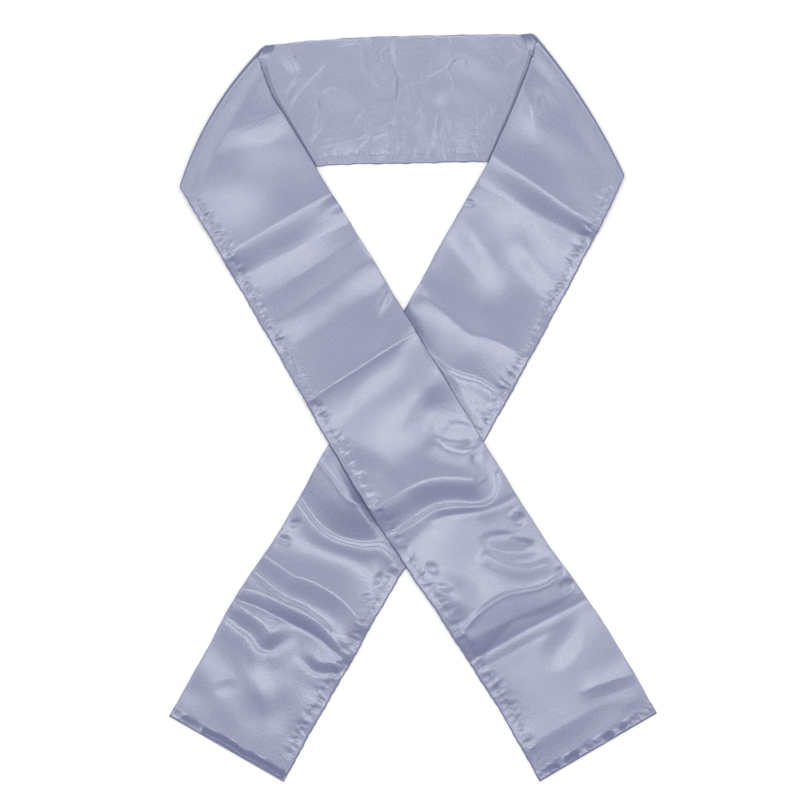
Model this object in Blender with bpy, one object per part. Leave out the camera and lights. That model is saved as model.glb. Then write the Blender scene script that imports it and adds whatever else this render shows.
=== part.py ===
"""Long satin scarf laid flat: a neck band and two legs that fold forward and cross.

The scarf is one straight strip of satin, folded lengthwise into a two-ply tube, topstitched
along its open long edge and hemmed at both short ends. It lies on a table with the neck
band at +Y, the legs folded forward over it, and the left leg on top where they cross.

Sizes in the tables are millimetres. Everything is turned into metres when a mesh is made.
A place on a leg is given by its run down the leg, counted from the outer corner of the
fold, and by its reach across the leg, counted from that corner towards the neck loop.
"""

import math
from typing import NamedTuple

import bmesh
import bpy

MM = 0.001

# Cloth
WALL = 1.0
AIR_BETWEEN_PLIES = 0.4
SEAM_GAP = 0.3
FLAT_HEIGHT = 2.0 * WALL + AIR_BETWEEN_PLIES
STACK_HEIGHT = FLAT_HEIGHT + SEAM_GAP
HEM_DEPTH = 12.0
HEM_HEIGHT = 3.0

# Ring of one section: shares of the strip's width from the seam edge to the folded edge
UPPER_SHARES = (0.012, 0.07, 0.16, 0.27, 0.38, 0.50, 0.62, 0.73, 0.84, 0.93, 0.988)
LOWER_SHARES = (0.988, 0.76, 0.50, 0.24, 0.012)
EDGE_WALL_SHARE = 0.011

# Soft roll where the strip turns back over itself
ROLL_ANGLES = (-90.0, -60.0, -30.0, 0.0, 30.0, 60.0, 90.0)
ROLL_FADE = 46.0
TURN_SHARES = (0.05, 0.12, 0.20, 0.30, 0.41, 0.53, 0.65, 0.77, 0.89, 1.0)
TURN_END = 72.0
SECTION_STEP = 13.0

# Where one stretch lies on another, the upper one keeps its height a little way past the edge
STEP_HOLD = 12.0
STEP_FADE = 24.0
RELIEF_HOLD = 12.0
RELIEF_FADE = 14.0

# Relief of the upper ply
BODY_RISE = 1.2
SEAM_SHARE = 0.07
SEAM_RISE_SHARE = 0.20
FOLD_RISE_SHARE = 0.10
HEM_FADE = 20.0


class EdgeRow(NamedTuple):
    """One section of a leg: its run and the reach of both its edges."""

    run: float
    seam_reach: float
    fold_reach: float


class NeckRow(NamedTuple):
    """One section of the neck band: its seam edge point and its folded edge point."""

    seam_x: float
    seam_y: float
    fold_x: float
    fold_y: float


class Crease(NamedTuple):
    """One fold of the upper ply, lying across the strip.

    The ridge is at run (x on the neck band) and slants by slant over the strip's width.
    It fades before and after that line, and past the first and last share of the width.
    """

    run: float
    slant: float
    first: float
    last: float
    before: float
    after: float
    rise: float
    sharp: bool


class Leg(NamedTuple):
    """One leg with its fold, in the scarf's plan."""

    name: str
    corner: tuple
    tip: tuple
    heading: float
    side: float
    bow: float
    roll_at_corner: float
    roll_at_tip: float
    slip_above: float
    slip_below: float
    cut_corner: tuple
    cut_tip: tuple
    length: float
    edges: tuple
    creases: tuple


LEFT_EDGES = (
    EdgeRow(run=-74.0, seam_reach=0.0, fold_reach=132.6),
    EdgeRow(run=-63.0, seam_reach=0.0, fold_reach=129.6),
    EdgeRow(run=-35.0, seam_reach=0.0, fold_reach=124.0),
    EdgeRow(run=0.0, seam_reach=-1.0, fold_reach=123.8),
    EdgeRow(run=9.0, seam_reach=-2.7, fold_reach=124.0),
    EdgeRow(run=60.0, seam_reach=-2.6, fold_reach=124.4),
    EdgeRow(run=150.0, seam_reach=-2.8, fold_reach=126.8),
    EdgeRow(run=230.0, seam_reach=-3.0, fold_reach=127.9),
    EdgeRow(run=300.0, seam_reach=-4.0, fold_reach=129.3),
    EdgeRow(run=380.0, seam_reach=-2.8, fold_reach=131.0),
    EdgeRow(run=450.0, seam_reach=0.4, fold_reach=132.7),
    EdgeRow(run=500.0, seam_reach=4.0, fold_reach=135.0),
    EdgeRow(run=560.0, seam_reach=6.4, fold_reach=140.8),
    EdgeRow(run=620.0, seam_reach=8.8, fold_reach=143.7),
    EdgeRow(run=698.0, seam_reach=7.6, fold_reach=143.4),
)

RIGHT_EDGES = (
    EdgeRow(run=-74.0, seam_reach=0.0, fold_reach=141.4),
    EdgeRow(run=-56.0, seam_reach=0.0, fold_reach=135.7),
    EdgeRow(run=-9.0, seam_reach=0.0, fold_reach=128.6),
    EdgeRow(run=8.0, seam_reach=-2.8, fold_reach=126.8),
    EdgeRow(run=31.0, seam_reach=-6.2, fold_reach=124.4),
    EdgeRow(run=60.0, seam_reach=-7.7, fold_reach=122.0),
    EdgeRow(run=140.0, seam_reach=-10.6, fold_reach=122.4),
    EdgeRow(run=200.0, seam_reach=-12.0, fold_reach=121.3),
    EdgeRow(run=300.0, seam_reach=-13.6, fold_reach=120.8),
    EdgeRow(run=390.0, seam_reach=-11.0, fold_reach=120.2),
    EdgeRow(run=460.0, seam_reach=-8.0, fold_reach=119.3),
    EdgeRow(run=505.0, seam_reach=-7.2, fold_reach=121.1),
    EdgeRow(run=563.0, seam_reach=-8.1, fold_reach=125.4),
    EdgeRow(run=620.0, seam_reach=-7.6, fold_reach=123.9),
    EdgeRow(run=698.0, seam_reach=-8.6, fold_reach=123.4),
)

LEFT_CREASES = (
    Crease(run=-22.0, slant=18.0, first=0.28, last=1.0, before=16.0, after=24.0, rise=2.4, sharp=False),
    Crease(run=84.0, slant=0.0, first=0.0, last=1.0, before=52.0, after=24.0, rise=3.2, sharp=True),
    Crease(run=140.0, slant=-10.0, first=0.1, last=0.9, before=30.0, after=34.0, rise=1.8, sharp=False),
    Crease(run=251.0, slant=-4.0, first=0.0, last=1.0, before=58.0, after=24.0, rise=3.8, sharp=True),
    Crease(run=318.0, slant=24.0, first=0.1, last=0.9, before=38.0, after=42.0, rise=3.6, sharp=False),
    Crease(run=407.0, slant=0.0, first=0.0, last=1.0, before=28.0, after=40.0, rise=3.2, sharp=True),
    Crease(run=480.0, slant=16.0, first=0.3, last=1.0, before=26.0, after=30.0, rise=2.8, sharp=False),
    Crease(run=528.0, slant=-14.0, first=0.2, last=1.0, before=18.0, after=26.0, rise=2.2, sharp=False),
    Crease(run=562.0, slant=0.0, first=0.0, last=1.0, before=22.0, after=56.0, rise=3.0, sharp=True),
    Crease(run=655.0, slant=-4.0, first=0.1, last=1.0, before=22.0, after=24.0, rise=1.2, sharp=True),
)

RIGHT_CREASES = (
    Crease(run=-4.0, slant=-60.0, first=0.2, last=0.9, before=26.0, after=30.0, rise=2.2, sharp=False),
    Crease(run=79.0, slant=-6.0, first=0.0, last=1.0, before=28.0, after=56.0, rise=3.4, sharp=True),
    Crease(run=150.0, slant=30.0, first=0.0, last=0.6, before=30.0, after=28.0, rise=2.0, sharp=False),
    Crease(run=205.0, slant=-20.0, first=0.3, last=0.9, before=28.0, after=26.0, rise=2.2, sharp=False),
    Crease(run=256.0, slant=4.0, first=0.0, last=0.6, before=24.0, after=20.0, rise=3.2, sharp=True),
    Crease(run=414.0, slant=2.0, first=0.3, last=1.0, before=18.0, after=24.0, rise=2.4, sharp=True),
    Crease(run=462.0, slant=6.0, first=0.0, last=1.0, before=20.0, after=36.0, rise=2.8, sharp=False),
    Crease(run=546.0, slant=-6.0, first=0.0, last=1.0, before=34.0, after=16.0, rise=3.6, sharp=False),
    Crease(run=577.0, slant=-2.0, first=0.1, last=1.0, before=13.0, after=36.0, rise=2.4, sharp=False),
    Crease(run=632.0, slant=20.0, first=0.2, last=0.9, before=26.0, after=30.0, rise=1.8, sharp=False),
)

NECK_CREASES = (
    Crease(run=-74.0, slant=-6.0, first=0.1, last=0.9, before=22.0, after=22.0, rise=1.4, sharp=False),
    Crease(run=-30.0, slant=0.0, first=0.05, last=1.0, before=22.0, after=11.0, rise=1.8, sharp=False),
    Crease(run=-7.0, slant=4.0, first=0.05, last=1.0, before=10.0, after=24.0, rise=2.2, sharp=False),
    Crease(run=48.0, slant=26.0, first=0.1, last=0.9, before=24.0, after=22.0, rise=1.6, sharp=False),
)

NECK_ROWS = (
    NeckRow(seam_x=-201.5, seam_y=228.5, fold_x=-136.5, fold_y=364.2),
    NeckRow(seam_x=-150.0, seam_y=236.0, fold_x=-112.0, fold_y=366.8),
    NeckRow(seam_x=-98.0, seam_y=241.8, fold_x=-80.0, fold_y=369.3),
    NeckRow(seam_x=-58.0, seam_y=244.3, fold_x=-52.0, fold_y=371.2),
    NeckRow(seam_x=-19.5, seam_y=244.6, fold_x=-17.5, fold_y=372.4),
    NeckRow(seam_x=20.0, seam_y=245.6, fold_x=22.0, fold_y=373.2),
    NeckRow(seam_x=62.0, seam_y=246.4, fold_x=52.0, fold_y=373.8),
    NeckRow(seam_x=118.0, seam_y=244.6, fold_x=82.0, fold_y=374.2),
    NeckRow(seam_x=179.5, seam_y=241.0, fold_x=108.0, fold_y=374.2),
)
SECTIONS_PER_NECK_ROW = 4

LEFT_LEG = Leg(
    name="left_leg",
    corner=(-231.5, 225.5),
    tip=(-154.5, 356.5),
    heading=30.3,
    side=1.0,
    bow=8.7,
    roll_at_corner=5.0,
    roll_at_tip=7.5,
    slip_above=6.0,
    slip_below=11.0,
    cut_corner=(-201.5, 228.5),
    cut_tip=(-136.5, 364.2),
    length=698.0,
    edges=LEFT_EDGES,
    creases=LEFT_CREASES,
)

RIGHT_LEG = Leg(
    name="right_leg",
    corner=(210.5, 236.5),
    tip=(123.5, 372.5),
    heading=-29.8,
    side=-1.0,
    bow=5.2,
    roll_at_corner=5.0,
    roll_at_tip=7.0,
    slip_above=6.0,
    slip_below=6.0,
    cut_corner=(179.5, 241.0),
    cut_tip=(108.0, 374.2),
    length=698.0,
    edges=RIGHT_EDGES,
    creases=RIGHT_CREASES,
)

SATIN_COLOUR = (0.40, 0.42, 0.54, 1.0)
HEM_COLOUR = (0.37, 0.39, 0.51, 1.0)


def clamp(value, low=0.0, high=1.0):
    """Keep a value between two limits."""
    return max(low, min(high, value))


def smooth(share):
    """Ease from 0 to 1 with level ends."""
    share = clamp(share)
    return share * share * (3.0 - 2.0 * share)


def mix(first, second, share):
    """Blend two numbers."""
    return first + (second - first) * share


def mix_points(first, second, share):
    """Blend two points of the plan."""
    return (mix(first[0], second[0], share), mix(first[1], second[1], share))


def curve_value(places, values, place):
    """Read a smooth curve through a short column of values.

    The slope at each place is the mean slope of its neighbours, so the curve is smooth and
    goes through every value.
    """
    last = len(places) - 1
    place = clamp(place, places[0], places[last])
    index = 0
    while index < last - 1 and place > places[index + 1]:
        index += 1

    def slope(number):
        before = max(number - 1, 0)
        after = min(number + 1, last)
        return (values[after] - values[before]) / (places[after] - places[before])

    span = places[index + 1] - places[index]
    share = (place - places[index]) / span
    square = share * share
    cube = square * share
    start = (2.0 * cube - 3.0 * square + 1.0) * values[index]
    start_slope = (cube - 2.0 * square + share) * span * slope(index)
    end = (3.0 * square - 2.0 * cube) * values[index + 1]
    end_slope = (cube - square) * span * slope(index + 1)
    return start + start_slope + end + end_slope


def column(rows, name):
    """Take one named column of a table."""
    return [getattr(row, name) for row in rows]


def leg_axes(leg):
    """Directions down the leg and across it, towards the neck loop."""
    angle = math.radians(leg.heading)
    down = (math.sin(angle), -math.cos(angle))
    across = (leg.side * math.cos(angle), leg.side * math.sin(angle))
    return down, across


def leg_point(leg, run, reach):
    """Turn a place on a leg into a point of the plan."""
    down, across = leg_axes(leg)
    x = leg.corner[0] + run * down[0] + reach * across[0]
    y = leg.corner[1] + run * down[1] + reach * across[1]
    return (x, y)


def leg_place(leg, point):
    """Turn a point of the plan into its run and reach on a leg."""
    down, across = leg_axes(leg)
    dx = point[0] - leg.corner[0]
    dy = point[1] - leg.corner[1]
    return dx * down[0] + dy * down[1], dx * across[0] + dy * across[1]


def edge_reaches(leg, run):
    """Reach of the seam edge and of the folded edge at a run."""
    runs = column(leg.edges, "run")
    seam = curve_value(runs, column(leg.edges, "seam_reach"), run)
    fold = curve_value(runs, column(leg.edges, "fold_reach"), run)
    return seam, fold


def fold_axes(leg):
    """Directions along the fold, from tip to corner, and out of it."""
    dx = leg.corner[0] - leg.tip[0]
    dy = leg.corner[1] - leg.tip[1]
    length = math.hypot(dx, dy)
    along = (dx / length, dy / length)
    outward = (-leg.side * -along[1], -leg.side * along[0])
    return along, outward, length


def fold_point(leg, share):
    """Point of the fold's silhouette, bowed outward between corner and tip."""
    outward = fold_axes(leg)[1]
    point = mix_points(leg.corner, leg.tip, share)
    bow = leg.bow * 4.0 * share * (1.0 - share)
    return (point[0] + bow * outward[0], point[1] + bow * outward[1])


def depth_from_fold(leg, point):
    """Distance of a point inward from the fold's silhouette."""
    along, outward, length = fold_axes(leg)
    dx = point[0] - leg.corner[0]
    dy = point[1] - leg.corner[1]
    share = clamp(-(dx * along[0] + dy * along[1]) / length)
    bow = leg.bow * 4.0 * share * (1.0 - share)
    return bow - (dx * outward[0] + dy * outward[1])


def neck_seam_y(x):
    """Height in the plan of the neck band's seam edge, out to both fold corners."""
    places = [LEFT_LEG.corner[0]] + column(NECK_ROWS, "seam_x") + [RIGHT_LEG.corner[0]]
    values = [LEFT_LEG.corner[1]] + column(NECK_ROWS, "seam_y") + [RIGHT_LEG.corner[1]]
    return curve_value(places, values, x)


def distance_outside_leg(leg, point):
    """How far a point lies outside a leg's two long edges; negative inside."""
    run, reach = leg_place(leg, point)
    seam, fold = edge_reaches(leg, run)
    return max(seam - reach, reach - fold)


def resting_height(leg, point):
    """Height of a leg's underside above the table, before its fold's roll is added."""
    outside_neck = neck_seam_y(point[0]) - point[1]
    height = STACK_HEIGHT * (1.0 - smooth((outside_neck - STEP_HOLD) / STEP_FADE))
    if leg is LEFT_LEG:
        outside_leg = distance_outside_leg(RIGHT_LEG, point)
        over_leg = STACK_HEIGHT * (1.0 - smooth((outside_leg - STEP_HOLD) / STEP_FADE))
        height = max(height, over_leg)
    return height


def roll_radius(leg, share):
    """Outer radius of the fold's roll between corner and tip."""
    return mix(leg.roll_at_corner, leg.roll_at_tip, share)


def underside_height(leg, point, share):
    """Height of a leg's underside: where it rests, and its rise towards the roll."""
    radius = roll_radius(leg, share)
    rest = resting_height(leg, point)
    share_down = clamp((depth_from_fold(leg, point) - radius) / ROLL_FADE)
    rise = 2.0 * radius - FLAT_HEIGHT - STACK_HEIGHT
    return rest + rise * 0.5 * (1.0 + math.cos(math.pi * share_down))


def crease_rise(crease, run, share):
    """Height that one crease adds at a place on the strip."""
    line = crease.run + crease.slant * (share - 0.5)
    offset = run - line
    distance = offset / crease.after if offset > 0.0 else -offset / crease.before
    if distance >= 1.0:
        return 0.0
    profile = (1.0 - distance) ** 2 if crease.sharp else 0.5 * (1.0 + math.cos(math.pi * distance))
    into_start = smooth((share - crease.first + 0.08) / 0.16)
    into_end = smooth((crease.last + 0.08 - share) / 0.16)
    return crease.rise * profile * into_start * into_end


def width_relief(share):
    """Share of the relief across the strip: none at the edges, little at the stitched seam."""
    from_seam = smooth((share - SEAM_SHARE * 0.5) / SEAM_RISE_SHARE)
    from_fold = smooth((1.0 - share) / FOLD_RISE_SHARE)
    return from_seam * from_fold


def leg_relief(leg, point, share):
    """Rise of a leg's upper ply above its flat height."""
    run = leg_place(leg, point)[0]
    rise = BODY_RISE + sum(crease_rise(crease, run, share) for crease in leg.creases)
    rise *= width_relief(share)
    rise *= smooth((depth_from_fold(leg, point) - ROLL_FADE * 0.4) / ROLL_FADE)
    rise *= smooth((leg.length - HEM_DEPTH - run) / HEM_FADE)
    if leg is RIGHT_LEG:
        outside = distance_outside_leg(LEFT_LEG, point)
        rise *= smooth((outside - RELIEF_HOLD) / RELIEF_FADE)
    return rise


def neck_relief(point, share):
    """Rise of the neck band's upper ply above its flat height."""
    rise = BODY_RISE + sum(crease_rise(crease, point[0], share) for crease in NECK_CREASES)
    rise *= width_relief(share)
    for leg in (LEFT_LEG, RIGHT_LEG):
        outside = distance_outside_leg(leg, point)
        rise *= smooth((outside - RELIEF_HOLD * 0.5) / RELIEF_FADE)
    return rise


def make_ring_pair(base, normal, relief):
    """Outer and inner ring of one section of the two-ply tube.

    base gives the point of the face that lies inside the fold, normal gives the direction
    through both plies to the face that lies outside it, and relief gives that face's rise.
    """

    def lifted(share, height):
        x, y, z = base(share)
        nx, ny, nz = normal(share)
        return (x + nx * height, y + ny * height, z + nz * height)

    middle = FLAT_HEIGHT * 0.5
    outer = [lifted(0.0, middle)]
    inner = [lifted(EDGE_WALL_SHARE, middle)]
    for share in UPPER_SHARES:
        inside = clamp(share, 2.0 * EDGE_WALL_SHARE, 1.0 - 2.0 * EDGE_WALL_SHARE)
        outer.append(lifted(share, FLAT_HEIGHT + relief(share)))
        inner.append(lifted(inside, FLAT_HEIGHT - WALL + relief(inside)))
    outer.append(lifted(1.0, middle))
    inner.append(lifted(1.0 - EDGE_WALL_SHARE, middle))
    for share in LOWER_SHARES:
        inside = clamp(share, 2.0 * EDGE_WALL_SHARE, 1.0 - 2.0 * EDGE_WALL_SHARE)
        outer.append(lifted(share, 0.0))
        inner.append(lifted(inside, WALL))
    return outer, inner


def straight_up(_share):
    """Direction through the plies where they lie face up."""
    return (0.0, 0.0, 1.0)


def straight_down(_share):
    """Direction through the plies where the strip runs under its own fold."""
    return (0.0, 0.0, -1.0)


def no_relief(_share):
    """Relief of a plain stretch."""
    return 0.0


def under_section(leg, part):
    """Ring pair of the stretch under the fold, from the cut (0) towards the roll (1)."""
    start = roll_plan(leg, ROLL_ANGLES[0])

    def base(share):
        cut = mix_points(leg.cut_corner, leg.cut_tip, share)
        x, y = mix_points(cut, start(share), part)
        return (x, y, FLAT_HEIGHT)

    return make_ring_pair(base, straight_down, no_relief)


def roll_plan(leg, angle):
    """Plan of the roll's centre line of one section, by its angle round the roll."""
    along, outward, _length = fold_axes(leg)
    slip = (leg.slip_above if angle > 0.0 else leg.slip_below) * angle / ROLL_ANGLES[-1]

    def plan(share):
        x, y = fold_point(leg, share)
        inward = roll_radius(leg, share)
        x += along[0] * slip - outward[0] * inward
        y += along[1] * slip - outward[1] * inward
        return (x, y)

    return plan


def roll_section(leg, angle):
    """Ring pair of one section round the roll; 0 degrees is the silhouette."""
    outward = fold_axes(leg)[1]
    plan = roll_plan(leg, angle)
    level = math.cos(math.radians(angle))
    climb = math.sin(math.radians(angle))

    def normal(_share):
        return (outward[0] * level, outward[1] * level, climb)

    def base(share):
        x, y = plan(share)
        radius = roll_radius(leg, share)
        inside = radius - FLAT_HEIGHT
        nx, ny, nz = normal(share)
        return (x + nx * inside, y + ny * inside, radius + nz * inside)

    return make_ring_pair(base, normal, no_relief)


def turning_plan(leg, part):
    """Plan of a section between the roll's top (0) and the first square section (1)."""
    top = roll_plan(leg, ROLL_ANGLES[-1])
    corner_run = leg_place(leg, top(0.0))[0]
    tip_run = leg_place(leg, top(1.0))[0]

    def by_edges(share, at):
        seam_run = mix(corner_run, TURN_END, at)
        fold_run = mix(tip_run, TURN_END, at)
        seam_point = leg_point(leg, seam_run, edge_reaches(leg, seam_run)[0])
        fold_edge = leg_point(leg, fold_run, edge_reaches(leg, fold_run)[1])
        return mix_points(seam_point, fold_edge, share)

    def plan(share):
        x, y = by_edges(share, part)
        top_x, top_y = top(share)
        start_x, start_y = by_edges(share, 0.0)
        left = (1.0 - part) ** 3
        return (x + (top_x - start_x) * left, y + (top_y - start_y) * left)

    return plan


def square_plan(leg, run):
    """Plan of a section square to the leg."""
    seam, fold = edge_reaches(leg, run)
    seam_point = leg_point(leg, run, seam)
    fold_edge = leg_point(leg, run, fold)

    def plan(share):
        return mix_points(seam_point, fold_edge, share)

    return plan


def top_section(leg, plan):
    """Ring pair of a section on the leg's face-up stretch."""

    def base(share):
        point = plan(share)
        return (point[0], point[1], underside_height(leg, point, share))

    def relief(share):
        return leg_relief(leg, plan(share), share)

    return make_ring_pair(base, straight_up, relief)


def square_runs(leg):
    """Runs of the square sections, with one on each sharp crease."""
    last = leg.length - HEM_DEPTH - SEAM_GAP
    count = round((last - TURN_END) / SECTION_STEP)
    runs = [mix(TURN_END, last, number / count) for number in range(1, count + 1)]
    for crease in leg.creases:
        if crease.sharp:
            nearest = min(range(len(runs)), key=lambda number: abs(runs[number] - crease.run))
            runs[nearest] = crease.run
    return runs


def leg_sections(leg):
    """All ring pairs of a leg, from the cut under its fold to its hem."""
    sections = [under_section(leg, part) for part in (0.0, 0.5)]
    sections += [roll_section(leg, angle) for angle in ROLL_ANGLES]
    sections += [top_section(leg, turning_plan(leg, part)) for part in TURN_SHARES]
    sections += [top_section(leg, square_plan(leg, run)) for run in square_runs(leg)]
    return sections


def neck_plan(place):
    """Plan of a section of the neck band, by its place along the table of rows."""
    numbers = list(range(len(NECK_ROWS)))
    seam_x = curve_value(numbers, column(NECK_ROWS, "seam_x"), place)
    seam_y = curve_value(numbers, column(NECK_ROWS, "seam_y"), place)
    fold_x = curve_value(numbers, column(NECK_ROWS, "fold_x"), place)
    fold_y = curve_value(numbers, column(NECK_ROWS, "fold_y"), place)
    shift = 0.0
    if place == numbers[0]:
        shift = SEAM_GAP * 1.2
    if place == numbers[-1]:
        shift = -SEAM_GAP * 1.2

    def plan(share):
        return mix_points((seam_x + shift, seam_y), (fold_x + shift, fold_y), share)

    return plan


def neck_section(plan):
    """Ring pair of a section of the neck band."""

    def base(share):
        point = plan(share)
        return (point[0], point[1], 0.0)

    def relief(share):
        return neck_relief(plan(share), share)

    return make_ring_pair(base, straight_up, relief)


def neck_sections():
    """All ring pairs of the neck band, from the left cut to the right one."""
    count = (len(NECK_ROWS) - 1) * SECTIONS_PER_NECK_ROW
    places = [number / SECTIONS_PER_NECK_ROW for number in range(count + 1)]
    return [neck_section(neck_plan(place)) for place in places]


def add_ring(mesh, ring):
    """Add a ring's points to a mesh."""
    return [mesh.verts.new((x * MM, y * MM, z * MM)) for x, y, z in ring]


def join_rings(mesh, first, second):
    """Join two rings of equal length with a band of faces."""
    count = len(first)
    for number in range(count):
        following = (number + 1) % count
        mesh.faces.new((first[number], first[following], second[following], second[number]))


def make_object(name, mesh, material):
    """Turn finished mesh data into a named object with its material."""
    bmesh.ops.recalc_face_normals(mesh, faces=mesh.faces)
    data = bpy.data.meshes.new(name)
    mesh.to_mesh(data)
    mesh.free()
    data.materials.append(material)
    data.shade_smooth()
    data.set_sharp_from_angle(angle=math.radians(50.0))
    made = bpy.data.objects.new(name, data)
    bpy.context.scene.collection.objects.link(made)
    return made


def make_tube(name, sections, material):
    """Two-ply tube of cloth through its sections, open at both ends."""
    mesh = bmesh.new()
    outer_rings = [add_ring(mesh, outer) for outer, _inner in sections]
    inner_rings = [add_ring(mesh, inner) for _outer, inner in sections]
    for number in range(len(sections) - 1):
        join_rings(mesh, outer_rings[number], outer_rings[number + 1])
        join_rings(mesh, inner_rings[number + 1], inner_rings[number])
    join_rings(mesh, inner_rings[0], outer_rings[0])
    join_rings(mesh, outer_rings[-1], inner_rings[-1])
    return make_object(name, mesh, material)


def hem_profile(share):
    """Outline of the turned hem at one place across the leg: run from its start, height."""
    swell = 0.35 * math.sin(share * 9.0)
    top = HEM_HEIGHT + swell
    return (
        (0.0, 0.0),
        (0.0, FLAT_HEIGHT),
        (2.0, top),
        (HEM_DEPTH * 0.6, top - 0.3),
        (HEM_DEPTH - 1.6, FLAT_HEIGHT),
        (HEM_DEPTH, FLAT_HEIGHT * 0.5),
        (HEM_DEPTH - 0.8, 0.0),
    )


def make_hem(name, leg, material):
    """Turned and stitched end of a leg, four plies pressed together."""
    mesh = bmesh.new()
    start = leg.length - HEM_DEPTH
    shares = (0.0,) + UPPER_SHARES + (1.0,)
    rings = []
    for share in shares:
        ring = []
        thin = 0.5 if share in (0.0, 1.0) else 1.0
        for run, height in hem_profile(share):
            seam, fold = edge_reaches(leg, start + run)
            x, y = leg_point(leg, start + run, mix(seam, fold, share))
            ring.append((x, y, FLAT_HEIGHT * 0.5 + (height - FLAT_HEIGHT * 0.5) * thin))
        rings.append(add_ring(mesh, ring))
    for number in range(len(rings) - 1):
        join_rings(mesh, rings[number], rings[number + 1])
    mesh.faces.new(rings[0])
    mesh.faces.new(list(reversed(rings[-1])))
    return make_object(name, mesh, material)


def make_material(name, colour, roughness):
    """Plain cloth material with the satin's base colour."""
    material = bpy.data.materials.new(name)
    material.use_nodes = True
    shader = material.node_tree.nodes["Principled BSDF"]
    shader.inputs["Base Color"].default_value = colour
    shader.inputs["Roughness"].default_value = roughness
    shader.inputs["Metallic"].default_value = 0.0
    return material


def centre_on_table(objects):
    """Move all meshes so that their box is centred on the origin and stands on zero."""
    corners = [vertex.co for made in objects for vertex in made.data.vertices]
    middle_x = (min(co.x for co in corners) + max(co.x for co in corners)) * 0.5
    middle_y = (min(co.y for co in corners) + max(co.y for co in corners)) * 0.5
    lowest = min(co.z for co in corners)
    for made in objects:
        for vertex in made.data.vertices:
            vertex.co.x -= middle_x
            vertex.co.y -= middle_y
            vertex.co.z -= lowest


def build():
    """Build the scarf in an empty scene."""
    for old in list(bpy.data.objects):
        bpy.data.objects.remove(old, do_unlink=True)
    satin = make_material("lavender_satin", SATIN_COLOUR, 0.38)
    hem_satin = make_material("lavender_satin_hem", HEM_COLOUR, 0.42)
    made = [
        make_tube("neck_band", neck_sections(), satin),
        make_tube(RIGHT_LEG.name, leg_sections(RIGHT_LEG), satin),
        make_tube(LEFT_LEG.name, leg_sections(LEFT_LEG), satin),
        make_hem("right_end_hem", RIGHT_LEG, hem_satin),
        make_hem("left_end_hem", LEFT_LEG, hem_satin),
    ]
    centre_on_table(made)


build()
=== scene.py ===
"""Looks of a long satin scarf laid flat, its legs folded forward from a neck band and crossed.

The scarf is one strip of lavender grey satin, folded lengthwise into a two-ply tube,
topstitched along its open long edge and turned in at both short ends. Each stretch that shows
is a thin two-sided shell on its solid's form, with the packing creases, soft swells, seam
puckers and stitches placed on it.

Sizes are millimetres and become metres when a mesh is made. Places on the table are points of
the plan, +X to the right and +Y towards the neck band. Places on a leg are its run down the
leg and its reach across it, both counted from the outer corner of the leg's fold. A share
across the strip is 0 at its seam edge and 1 at its folded edge.
"""

import logging
import math
from dataclasses import dataclass, field
from enum import Enum
from functools import reduce

import bpy
import numpy as np
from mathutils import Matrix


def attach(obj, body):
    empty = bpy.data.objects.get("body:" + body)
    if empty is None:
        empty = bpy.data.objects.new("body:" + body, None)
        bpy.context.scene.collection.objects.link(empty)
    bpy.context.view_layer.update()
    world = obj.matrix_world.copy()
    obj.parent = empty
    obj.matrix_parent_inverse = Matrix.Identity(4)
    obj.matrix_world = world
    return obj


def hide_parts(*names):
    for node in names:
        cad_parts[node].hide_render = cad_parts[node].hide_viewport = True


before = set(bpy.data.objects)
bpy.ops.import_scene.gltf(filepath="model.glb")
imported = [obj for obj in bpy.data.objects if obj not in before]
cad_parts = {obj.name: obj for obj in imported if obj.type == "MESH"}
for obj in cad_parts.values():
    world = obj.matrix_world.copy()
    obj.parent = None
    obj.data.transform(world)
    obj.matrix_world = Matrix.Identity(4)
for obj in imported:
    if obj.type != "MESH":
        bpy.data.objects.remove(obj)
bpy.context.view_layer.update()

Array = np.ndarray
Point = tuple[float, float]

MM = 0.001

# The plan's origin in the part's frame
PLAN_SHIFT_X = 0.50
PLAN_SHIFT_Y = 0.38

# Two plies of cloth
FLAT_HEIGHT = 2.4
SEAM_GAP = 0.3
STACK_HEIGHT = FLAT_HEIGHT + SEAM_GAP
CLOTH_THICKNESS = 0.35
BODY_RISE = 0.7
EDGE_RADIUS = FLAT_HEIGHT * 0.5
EDGE_SPREAD = 0.55
HEM_DEPTH = 12.0
WIDTH = 130.0
STITCH_INSET = 9.0

# Where one stretch lies on another: it keeps its height a little way past the edge below and
# then eases down, and the creases of the one below fade out under it
STEP_HOLD = 5.0
STEP_FADE = 130.0
RELIEF_HOLD = -8.0
RELIEF_FADE = 17.0
NECK_FADE = 34.0

# The roll of each fold corner, a flattened oval a little wider than high: how far the cloth
# takes to come down from it, and the run from which the sections lie square to the leg
ROLL_FADE = 140.0
TURN_END = 72.0
ROLL_ASPECT = 1.1
ROLL_POWER = 4.0

# How the upper ply rises over both edges: each bend, and its slower crown
SEAM_BEND = 1.6
FOLD_BEND = 1.2
CROWN_START = 1.0
CROWN_REACH = 26.0
CROWN_PART = 0.25

# How a fold is read, and the forms of its flanks
REACH_MARGIN = 34.0
PATH_STEP = 3.0
CRISP_CREST_POWER = 2.0
CRISP_FOOT_POWER = 1.7
GENTLE_STRETCH = 1.25

# Widths of each lip on the crest's side and on the foot's side, and the foot lip's distance
CREST_LIP_WIDTHS = (3.4, 2.6)
FOOT_LIP_WIDTHS = (3.1, 11.0)
FOOT_LIP_AWAY = 4.0

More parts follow.
